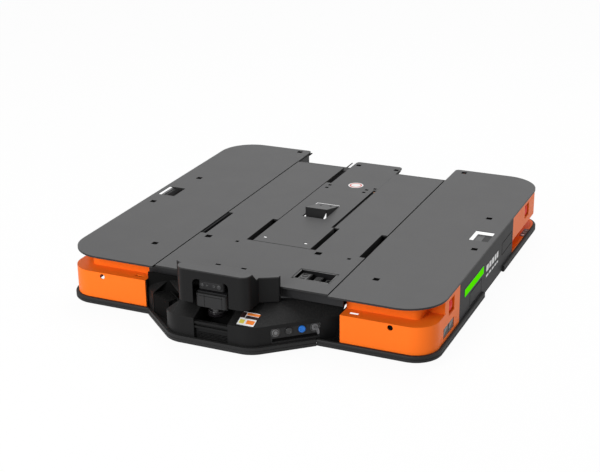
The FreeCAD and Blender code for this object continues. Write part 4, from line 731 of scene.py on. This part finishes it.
def onSlope(side, s, n, z):
    # on a diagonal of the nose: s from its front corner, n inward, z from the floor;
    # X runs level along it, Y is up and +Z looks outward
    length = (slope["run"] ** 2 + slope["rise"] ** 2) ** 0.5
    c, r = slope["run"] / length, slope["rise"] / length
    x = side * (slope["half"] + s * c - n * r) - slope["shift"]
    y = slope["face"] + s * r + n * c
    turn = Matrix(((c, 0, side * r, 0), (side * r, 0, -c, 0), (0, 1, 0, 0), (0, 0, 0, 1)))
    return upright(x, y, z) @ turn


controls = {
    "middle": 142, "pitch": 42, "z": 87, "steps": (-1.5, -0.5, 0.5, 1.5),
    "bezel": (12.4, 15.6, 1.5, 0.5, 44), "bezelSink": 2, "slot": (146, 12, 0.4), "slotAt": (142, 7.9, 61),
    "ridge": (6, 9.4, 0.7, 0.3, 40), "ridgeLift": 2, "keyRing": (4, 10.5, 1.6, 0.4, 40),
    "ridges": [(-1.5, "power_key", "button_steel", "bezel"), (-0.5, "mode_key", "button_black", "keyBlack"),
               (0.5, "reset_key", "button_blue", "keyBlue")],
}


def onStrip(step, n):
    return onSlope(1, controls["middle"] + step * controls["pitch"], n, controls["z"])


def buildControls():
    d = controls
    bm = bmesh.new()
    for step in d["steps"]:  # the outer two bezels are bright
        addRing(bm, onStrip(step, d["bezelSink"]), *d["bezel"], material=1 if abs(step) > 1 else 0)
    newPiece("buttonBezels", bm, "chassis", "strip_black", "socket", "bezel")
    bm = bmesh.new()
    # painted shade: a near-black plate for the shadowed slot below the buttons
    addPlate(bm, onSlope(1, *d["slotAt"]), d["slot"], 4)
    newPiece("stripSlot", bm, "chassis", "strip_black", "shadeAndSeamBlack")
    for step, body, slot, finishName in d["ridges"]:
        bm = bmesh.new()
        addRing(bm, onStrip(step, -d["ridgeLift"]), *d["ridge"])
        newPiece("ridge_" + body, bm, body, slot, finishName)
    bm = bmesh.new()
    addRing(bm, onStrip(d["steps"][-1], 0), *d["keyRing"])
    newPiece("keyCollar", bm, "switch_key", "button_steel", "keySteel")


noseDetail = {
    "door": (38, 32, 1.6), "doorAt": (206, 0.4, 82), "sheet": 3, "corner": 2,
    "facet": [(174, 2), (174, 54), (108, 54), (96, 24)], "facetZ": (44, 110),
    "wedge": [(96, 24, 44), (108, 54, 44), (60, 54, 44), (104, 40, 108), (108, 54, 108)],
    "walls": [(-334, -150, -611, 60, 166), (215, 334, -585, 29, 64), (-334, -215, -585, 29, 64)],
    "floors": [(225, 334, -632, -575, 38), (-334, -225, -632, -575, 38)],
    "gapShade": (3, 112, 94), "gapShadeAt": (334, -570, 93), "peep": (13, 3), "peepAt": (498, -622.5, 127),
    "holeShadePlate": (70, 60, 2), "holeShadePlateAt": (-388, -580, 128),
}


def buildNoseDetail():
    d = noseDetail
    sheet, corner = d["sheet"], d["corner"]
    bm = bmesh.new()
    addPlate(bm, onSlope(-1, *d["doorAt"]), d["door"], 4, 0.6)
    newPiece("wingDoor", bm, "chassis", "nose_black", "nose")
    bm = bmesh.new()
    facet = [(s, n, z) for s, n in d["facet"] for z in d["facetZ"]]
    for points in (facet, d["wedge"]):  # painted shade: near-black facets inside the left bay
        addHull(bm, [onSlope(-1, *point).translation for point in points])
    newPiece("bayShadeFacets", bm, "chassis", "nose_black", "shadeAndSeamBlack", smooth=5)
    bm = bmesh.new()
    # painted shade: near-black walls and floors set behind the nose's openings
    for x0, x1, y, z0, z1 in d["walls"]:
        wall = facing(at((x0 + x1) / 2, y, (z0 + z1) / 2), (0, -1, 0))
        addPlate(bm, wall, (x1 - x0, z1 - z0, sheet), corner)
    for x0, x1, y0, y1, z in d["floors"]:
        addPlate(bm, upright((x0 + x1) / 2, (y0 + y1) / 2, z), (x1 - x0, y1 - y0, sheet), corner)
    newPiece("noseBackWalls", bm, "chassis", "frame_black", "shadeAndSeamBlack")
    bm = bmesh.new()
    # painted shade: near-black blocks fill the gaps at the nose's two ends
    x, y, z = d["gapShadeAt"]
    for side in (1, -1):
        addBlock(bm, at(x * side, y, z), d["gapShade"], 0.6)
    newPiece("endGapShades", bm, "chassis", "nose_black", "shadeAndSeamBlack")
    bm = bmesh.new()
    # painted shade: a near-black disc and plate set behind holes in the orange covers so that they read dark
    addDrum(bm, facing(at(*d["peepAt"]), (0, 1, 0)), *d["peep"], segments=40, bevel=0.5)
    addPlate(bm, upright(*d["holeShadePlateAt"]), d["holeShadePlate"], 3)
    newPiece("coverHoleShades", bm, "chassis", "socket_black", "shadeAndSeamBlack")


# lenses are x, radius; rings are height, inner, outer, tall
hoodDetail = {
    "capsule": (76, 21, 1.4), "capsuleCorner": 10, "lenses": [(-28, 5.2), (-12, 3.2), (12, 4.4), (28, 6.2)],
    "pupil": 0.72, "seams": (-22, 38), "seam": (1.2, 0.8), "seamEnds": 4, "lintel": (80, 0.8, 1.2),
    "lintelDrop": 7, "proud": 0.1,
    "rings": [(17.5, 24.5, 26.5, 1.2), (29, 24.5, 27, 1.2), (32, 29.6, 30.6, 2.4)],
    "gland": (5, 16), "glandAt": (37, -6), "glandNut": (7.5, 5), "screw": 4.2,
    "screws": [(-45, 16), (45, 16), (-45, 56), (45, 56)],
}


def buildCamera():
    d = hoodDetail
    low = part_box("depth_camera")[0]
    middle = middleOf("depth_camera")
    front = facing((middle.x, low.y, middle.z), (0, -1, 0))
    thick = d["capsule"][2]
    bm = bmesh.new()
    addPlate(bm, front, d["capsule"], d["capsuleCorner"], 0.6)
    newPiece("cameraBezel", bm, "chassis", "camera_grey", "camera")
    bm = bmesh.new()
    for x, radius in d["lenses"]:
        spot = moved(front, x, 0, thick)
        pupil = radius * d["pupil"]
        addRing(bm, spot, pupil, radius, 0.9, 0.2, 32)
        addTurned(bm, spot, [(0, 0.6), (radius * 0.4, 0.5), (pupil, 0.1), (0, 0.1)], 32, 1)
    newPiece("cameraLenses", bm, "chassis", "window_black", "bezel", "lens")


def buildScanner():
    d = hoodDetail
    low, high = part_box("scanner_body")
    middle = (low + high) / 2
    front = low.y + d["proud"] * mm
    bm = bmesh.new()
    for x in d["seams"]:
        seam = (*d["seam"], (high.z - low.z) / mm - d["seamEnds"])
        addBlock(bm, (middle.x + x * mm, front, middle.z), seam)
    addBlock(bm, (middle.x, front, high.z - d["lintelDrop"] * mm), d["lintel"])
    newPiece("scannerSeams", bm, "chassis", "scanner_black", "shadeAndSeamBlack")
    dome = middleOf("scanner_dome")
    dome.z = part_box("scanner_dome")[0].z
    # lighter grey rings round the dome's neck: partly a real collar, partly a painted highlight
    bm = bmesh.new()
    for z, inner, outer, tall in d["rings"]:
        addRing(bm, moved(Matrix.Translation(dome), z=z), inner, outer, tall, 0.3, 48)
    newPiece("domeRings", bm, "chassis", "camera_grey", "bezel")
    bm = bmesh.new()
    radius, tall = d["gland"]
    gland = moved(Matrix.Translation((dome.x, dome.y, low.z)), *d["glandAt"], -tall)
    addDrum(bm, gland, radius, tall, segments=28, bevel=0.8)
    addDrum(bm, moved(gland, z=6), *d["glandNut"], segments=6, bevel=0.5)
    newPiece("scannerGland", bm, "chassis", "scanner_black", "motor")
    low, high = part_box("sensor_hood")
    back = facing(((low.x + high.x) / 2, high.y - mm, low.z), (0, 1, 0))
    bm = bmesh.new()
    for x, z in d["screws"]:
        place = back.translation + Vector((x, 0, z)) * mm
        addScrew(bm, facing(place, (0, 1, 0)), d["screw"])
    newPiece("hoodScrews", bm, "chassis", "button_steel", "steel")


# sizes of a plate are wide, long, thick
trayDetail = {
    "rim": (5, 2), "rimInset": 4, "rimShort": 3, "rimSink": 0.6,
    "lid": (30, 50, 2.5), "lidAt": 17, "lidRing": (7, 10.5, 1.2, 0.3, 36), "lidTab": (16, 6, 1.6),
    "plug": (19, 30, 3), "plugAt": (61, 1, -4), "cable": (6, 14), "ribs": 5, "rib": (15, 1.6, 0.8),
    "ribPitch": 5, "pinsAt": (-12, 0, -8.5), "pins": 6, "pin": (1.2, 6), "pinPitch": (6, 9),
}


def buildTray():
    d = trayDetail
    tray0, tray1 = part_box("io_tray")
    middle = (tray0 + tray1) / 2
    bar, tall = d["rim"]
    inset, top = d["rimInset"] * mm, tray1.z - d["rimSink"] * mm
    wide, long = [length / mm - d["rimShort"] for length in (tray1 - tray0)[:2]]
    bm = bmesh.new()
    for y in (tray0.y + inset, tray1.y - inset):
        addBlock(bm, (middle.x, y, top), (wide, bar, tall), 0.4)
    for x in (tray0.x + inset, tray1.x - inset):
        addBlock(bm, (x, middle.y, top), (bar, long, tall), 0.4)
    newPiece("trayRim", bm, "chassis", "socket_black", "keyBlack")
    low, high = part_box("io_connectors")
    middle = (low + high) / 2
    left = Matrix.Translation((low.x, middle.y, high.z))
    right = Matrix.Translation((high.x, middle.y, high.z))
    bm = bmesh.new()
    lid = moved(left, d["lidAt"])
    thick = d["lid"][2]
    addPlate(bm, lid, d["lid"], 8, 0.8)
    addRing(bm, moved(lid, y=6, z=thick), *d["lidRing"], 1)
    addPlate(bm, moved(lid, y=-18, z=thick), d["lidTab"], 1.5, 0.5, 1)
    plug = moved(left, *d["plugAt"])
    addPlate(bm, plug, d["plug"], 3, 0.8, 1)
    addDrum(bm, moved(plug, y=-20, z=-6) @ Matrix.Rotation(pi / 2, 4, "X"), *d["cable"], segments=24,
            bevel=0.6)
    for n in range(d["ribs"]):
        step = (n - (d["ribs"] - 1) / 2) * d["ribPitch"]
        addPlate(bm, moved(plug, y=step, z=d["plug"][2]), d["rib"], 0.4, 0, 2)
    pins = moved(right, *d["pinsAt"])
    across, along = d["pinPitch"]
    for n in range(d["pins"]):
        row, column = divmod(n, 2)
        pin = moved(pins, (column - 0.5) * across, (row - 1) * along, -d["pin"][1])
        addDrum(bm, pin, *d["pin"], segments=12, bevel=0.3, material=2)
    newPiece("trayFittings", bm, "chassis", "socket_black", "keyBlack", "socket", "strip")


flapDetail = {
    "screws": [(-16, 58), (18, 66)], "screw": 3.2, "rise": 26, "run": 114,
    "front": -22, "face": [(-37.5, 180), (-39.5, 225.4), (39.5, 225.4), (21.4, 180)], "skin": (0.1, 0.5),
    "hinge": (83, 186), "turns": 5, "firstTurn": 24, "turnPitch": 1.8, "turn": (5.8, 7.2, 1.4, 0.5, 28),
}


def buildFlap():
    d = flapDetail
    low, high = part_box("latch_flap")
    rise, run = d["rise"], d["run"]
    bm = bmesh.new()
    for x, y in d["screws"]:
        spot = at(x, y, 0)
        spot.z = high.z - (spot.y - low.y) * rise / run
        addScrew(bm, facing(spot, (0, rise, run)), d["screw"])
    newPiece("flapScrews", bm, "flap", "deck_grey", "frame")
    bm = bmesh.new()
    # painted shade: a thin dark skin over the flap's front face, which looks down and forward
    addHull(bm, [at(x, d["front"] - proud, z) for x, z in d["face"] for proud in d["skin"]])
    newPiece("flapFaceShade", bm, "flap", "deck_grey", "strip")
    bm = bmesh.new()
    for side in (1, -1):
        for n in range(d["turns"]):
            x = side * (d["firstTurn"] + n * d["turnPitch"])
            addRing(bm, facing(at(x, *d["hinge"]), (1, 0, 0)), *d["turn"])
    newPiece("flapSprings", bm, "chassis", "button_steel", "steel")


# rings are inner, outer, height, chamfer, segments
gear = {
    "bolts": 5, "boltRadius": 40, "bolt": 4.5, "boltSink": 16, "cap": (14, 3), "capSink": 6,
    "fins": 12, "firstFin": 328, "finPitch": 8.5, "fin": (41.5, 44.2, 2.8, 0.8, 48),
    "screws": 6, "screwX": 428, "screwRadius": 45.2, "screw": 3, "tailX": 318, "tail": (36, 4, 33),
    "tailScrews": 4, "tailScrewRadius": 28, "tailScrew": 2.6,
}


def buildDrive():
    d = gear
    for side, word in sides:
        outer = sideOf("drive_hub_" + word, side)
        axis = Vector((0, outer.y, outer.z))
        bm = bmesh.new()
        for spot in aroundX(outer, -side * d["boltSink"], d["boltRadius"], d["bolts"]):
            addBolt(bm, facing(spot, (side, 0, 0)), d["bolt"])
        cap = moved(facing(outer, (side, 0, 0)), z=-d["capSink"])
        addDrum(bm, cap, *d["cap"], segments=40, bevel=1)
        newPiece("wheelBolts" + word.title(), bm, "drive_wheel_" + word, "hub_aluminium", "zinc")
        bm = bmesh.new()
        for n in range(d["fins"]):
            along = Vector((side * (d["firstFin"] + n * d["finPitch"]) * mm, 0, 0))
            addRing(bm, facing(axis + along, (side, 0, 0)), *d["fin"])
        for spot in aroundX(axis, side * d["screwX"], d["screwRadius"], d["screws"]):
            addScrew(bm, facing(spot, (-side, 0, 0)), d["screw"], 1)
        radius, thick, tip = d["tail"]
        tail = facing(axis + Vector((side * d["tailX"] * mm, 0, 0)), (-side, 0, 0))
        addDrum(bm, tail, radius, thick, tip=tip, segments=44, bevel=0.8)
        for n in range(d["tailScrews"]):
            turn, around = pi / 4 + pi * n / 2, d["tailScrewRadius"]
            addScrew(bm, moved(tail, cos(turn) * around, sin(turn) * around, thick), d["tailScrew"], 1)
        newPiece("motorFins" + word.title(), bm, "chassis", "motor_grey", "motor", "zinc")


casterDetail = {
    "trail": 32, "arm": 23, "washer": (9.8, 1.2), "nut": (7, 5), "cap": (6.6, 12, 4.8, 0.8, 40), "capX": 12.5,
    "holes": 5, "holeRadius": 27, "hole": (3.6, 6.2, 1.2, 0.4, 24), "holeX": 11.8, "bolt": 5.2,
    "bolts": [(34, 26), (-34, 26), (34, -26), (-34, -26)], "boltZ": 20,
    "race": (20.2, 27, 1.6, 0.4, 48), "raceZ": 16.5,
}


def buildCasters():
    d = casterDetail
    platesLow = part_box("caster_plates")[0].z
    tops = bmesh.new()
    for word in corners:
        axle = middleOf("caster_wheel_" + word)
        bm = bmesh.new()
        for side in (1, -1):
            arm = moved(facing(axle, (side, 0, 0)), z=d["arm"])
            addDrum(bm, arm, *d["washer"], bevel=0.3)
            addDrum(bm, moved(arm, z=d["washer"][1]), *d["nut"], segments=6, bevel=0.5)
        newPiece("axleNuts_" + word, bm, "caster_swivel_" + word, "caster_zinc", "zinc")
        bm = bmesh.new()
        for side in (1, -1):
            addRing(bm, moved(facing(axle, (side, 0, 0)), z=d["capX"]), *d["cap"])
            for spot in aroundX(axle, side * d["holeX"], d["holeRadius"], d["holes"]):
                addRing(bm, facing(spot, (side, 0, 0)), *d["hole"])
        newPiece("rollerCaps_" + word, bm, "caster_roll_" + word, "caster_zinc", "zinc")
        pivot = Vector((axle.x, axle.y - d["trail"] * mm, platesLow))
        for x, y in d["bolts"]:
            addBolt(tops, facing(pivot + Vector((x, y, d["boltZ"])) * mm, (0, 0, -1)), d["bolt"])
        addRing(tops, facing(pivot + Vector((0, 0, d["raceZ"])) * mm, (0, 0, -1)), *d["race"])
    newPiece("casterBolts", tops, "chassis", "caster_zinc", "zinc")


# welds are y and how far inside the rail's outer face
frameDetail = {
    "tube": 40, "cap": (39, 39, 2), "capCorner": 4, "weldZ": 154, "beads": 10, "bead": 2.2, "beadTip": 0.72,
    "welds": [(-400, 0), (-360, 0), (360, 0), (400, 0), (480, 40), (520, 40), (-560, 40)],
}


def buildFrameDetail():
    d = frameDetail
    end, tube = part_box("frame_rails")[1], d["tube"]
    bm = bmesh.new()
    for side in (1, -1):
        rear = Vector((side * (end.x - tube / 2 * mm), end.y, end.z - tube / 2 * mm))
        addPlate(bm, facing(rear, (0, 1, 0)), d["cap"], d["capCorner"], 0.8)
    newPiece("tubeCaps", bm, "chassis", "socket_black", "socket")
    bm = bmesh.new()
    tall = tube / d["beads"]
    welds = [(side * (end.x / mm - inset), y) for side in (1, -1) for y, inset in d["welds"]]
    for x, y in welds:  # beads run up the joints of the tubes
        for n in range(d["beads"]):
            addDrum(bm, upright(x, y, d["weldZ"] + n * tall), d["bead"], tall, tip=d["bead"] * d["beadTip"],
                    segments=10)
    newPiece("frameWelds", bm, "chassis", "frame_black", "frame")


boxDetail = {"fins": 9, "fin": (3, 190, 6), "finInset": 20, "finShift": 7, "screw": 3, "screwX": 8,
             "screwY": (24, 10)}


def buildControllerBox():
    d = boxDetail
    low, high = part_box("controller_box")
    inset = d["finInset"] * mm
    bm = bmesh.new()
    for n in range(d["fins"]):
        x = low.x + inset + n * (high.x - low.x - 2 * inset) / (d["fins"] - 1)
        y = (low.y + high.y) / 2 + d["finShift"] * mm
        addBlock(bm, (x, y, low.z - d["fin"][2] / 2 * mm), d["fin"], 0.6)
    front, rear = d["screwY"]
    for x in (low.x + d["screwX"] * mm, high.x - d["screwX"] * mm):
        for y in (low.y + front * mm, high.y - rear * mm):
            addScrew(bm, facing((x, y, low.z), (0, 0, -1)), d["screw"], 1)
    newPiece("controllerFins", bm, "chassis", "box_light", "aluminium", "steel")


rearDetail = {
    "screws": [(-300, 120), (300, 120), (-300, 52), (300, 52), (-110, 79), (110, 79)], "screw": 4.5,
    "louvreX": (-210, 210), "louvres": 7, "louvre": (90, 3.2, 1.2), "louvreZ": 62, "louvrePitch": 8,
    "bar": (150, 2, 6), "barGap": 3, "post": (6, 2, 33.4), "postGap": 2,
}


def onRear(x, z):
    place = at(x, 0, z)
    place.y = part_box("rear_panel")[1].y
    return facing(place, (0, 1, 0))


def buildRear():
    d = rearDetail
    bm = bmesh.new()
    for x, z in d["screws"]:
        addScrew(bm, onRear(x, z), d["screw"])
    newPiece("rearScrews", bm, "chassis", "button_steel", "steel")
    bm = bmesh.new()
    for x in d["louvreX"]:
        for n in range(d["louvres"]):
            addPlate(bm, onRear(x, d["louvreZ"] + n * d["louvrePitch"]), d["louvre"], 1.4, 0.5)
    newPiece("rearLouvres", bm, "chassis", "panel_dark", "panel")
    low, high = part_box("charge_contacts")
    middle = (low + high) / 2
    y = high.y + mm
    bm = bmesh.new()
    for z in (low.z - d["barGap"] * mm, high.z + d["barGap"] * mm):
        addBlock(bm, (middle.x, y, z), d["bar"], 0.6)
    for x in (low.x - d["postGap"] * mm, high.x + d["postGap"] * mm):
        addBlock(bm, (x, y, middle.z), d["post"], 0.6)
    newPiece("contactFrame", bm, "chassis", "socket_black", "socket")


buildDeckDetail()
buildWindows()
buildStickers()
print("deck pieces built")
for side, word in sides:
    buildSidePanel(side, word)
buildEyes()
buildStops()
print("side pieces built")
buildControls()
buildNoseDetail()
buildCamera()
buildScanner()
buildTray()
buildFlap()
print("nose and hatch pieces built")
buildDrive()
buildCasters()
buildFrameDetail()
buildControllerBox()
buildRear()
print("running gear and rear pieces built")


# metres, degrees and watts; a lamp is its place, size and power
stageSizes = {
    "eye": (1.6728, -3.8353, 1.8), "turn": (68.359, 0.561, 23.856), "lens": 77.778,
    "floorSize": 14.0, "floorDrop": 0.0005, "floorGlow": 0.96, "worldStrength": 0.33,
    "lamps": {"key": ((-1.2, -4.6, 2.2), 2.4, 172.0), "fill": ((3.6, 0.6, 2.4), 3.0, 7.0),
              "top": ((0.1, 1.4, 3.8), 2.6, 88.0)},
}


def addToScene(name, data):
    made = bpy.data.objects.new(name, data)
    bpy.context.scene.collection.objects.link(made)
    return made


def buildView():
    view = bpy.data.cameras.new("camera")
    view.lens = stageSizes["lens"]
    view.sensor_width = 36.0
    camera = addToScene("camera", view)
    camera.location = stageSizes["eye"]
    camera.rotation_euler = Euler([radians(angle) for angle in stageSizes["turn"]])
    bpy.context.scene.camera = camera


def buildLamps():
    middle = (cadBox[0] + cadBox[1]) / 2
    for name, (place, size, power) in stageSizes["lamps"].items():
        lamp = bpy.data.lights.new(name, "AREA")
        lamp.shape = "SQUARE"
        lamp.size = size
        lamp.energy = power
        holder = addToScene(name, lamp)
        holder.location = place
        holder.rotation_euler = (middle - Vector(place)).to_track_quat("-Z", "Y").to_euler()


def seenDirectly(tree):
    # one where the camera, a reflection or glass looks, else nought
    path = addNode(tree, "ShaderNodeLightPath", {})
    seen = addMath(tree, "MAXIMUM", path["Is Camera Ray"], path["Is Glossy Ray"])
    return addMath(tree, "MAXIMUM", seen, path["Is Transmission Ray"])


def buildWorld():
    world = bpy.data.worlds.new("studio")
    bpy.context.scene.world = world
    world.use_nodes = True
    tree = world.node_tree
    plain = tree.nodes["Background"]
    pure = (1, 1, 1, 1)
    fillInputs(tree, plain, {"Color": pure, "Strength": stageSizes["worldStrength"]})
    white = addNode(tree, "ShaderNodeBackground", {"Color": pure})[0]
    mix = addNode(tree, "ShaderNodeMixShader", {0: seenDirectly(tree), 1: plain.outputs[0], 2: white})
    fillInputs(tree, tree.nodes["World Output"], {"Surface": mix[0]})


def buildFloor():
    bm = bmesh.new()
    bmesh.ops.create_grid(bm, x_segments=1, y_segments=1, size=stageSizes["floorSize"] / 2,
                          matrix=Matrix.Translation((0, 0, floorZ - stageSizes["floorDrop"])))
    mesh = bpy.data.meshes.new("floor")
    bm.to_mesh(mesh)
    bm.free()
    finish, tree, shader = startFinish("floorWhite")
    fillInputs(tree, shader, {"Base Color": (0.9, 0.9, 0.9, 1), "Roughness": 0.9})
    glow = addNode(tree, "ShaderNodeEmission", {})[0]
    share = addMath(tree, "MULTIPLY", seenDirectly(tree), stageSizes["floorGlow"])
    mix = addNode(tree, "ShaderNodeMixShader", {0: share, 1: shader.outputs[0], 2: glow})
    fillInputs(tree, tree.nodes["Material Output"], {"Surface": mix[0]})
    mesh.materials.append(finish)
    addToScene("floor", mesh)


buildView()
buildLamps()
buildWorld()
buildFloor()
bpy.context.scene.view_settings.view_transform = "Standard"
print("stage built")
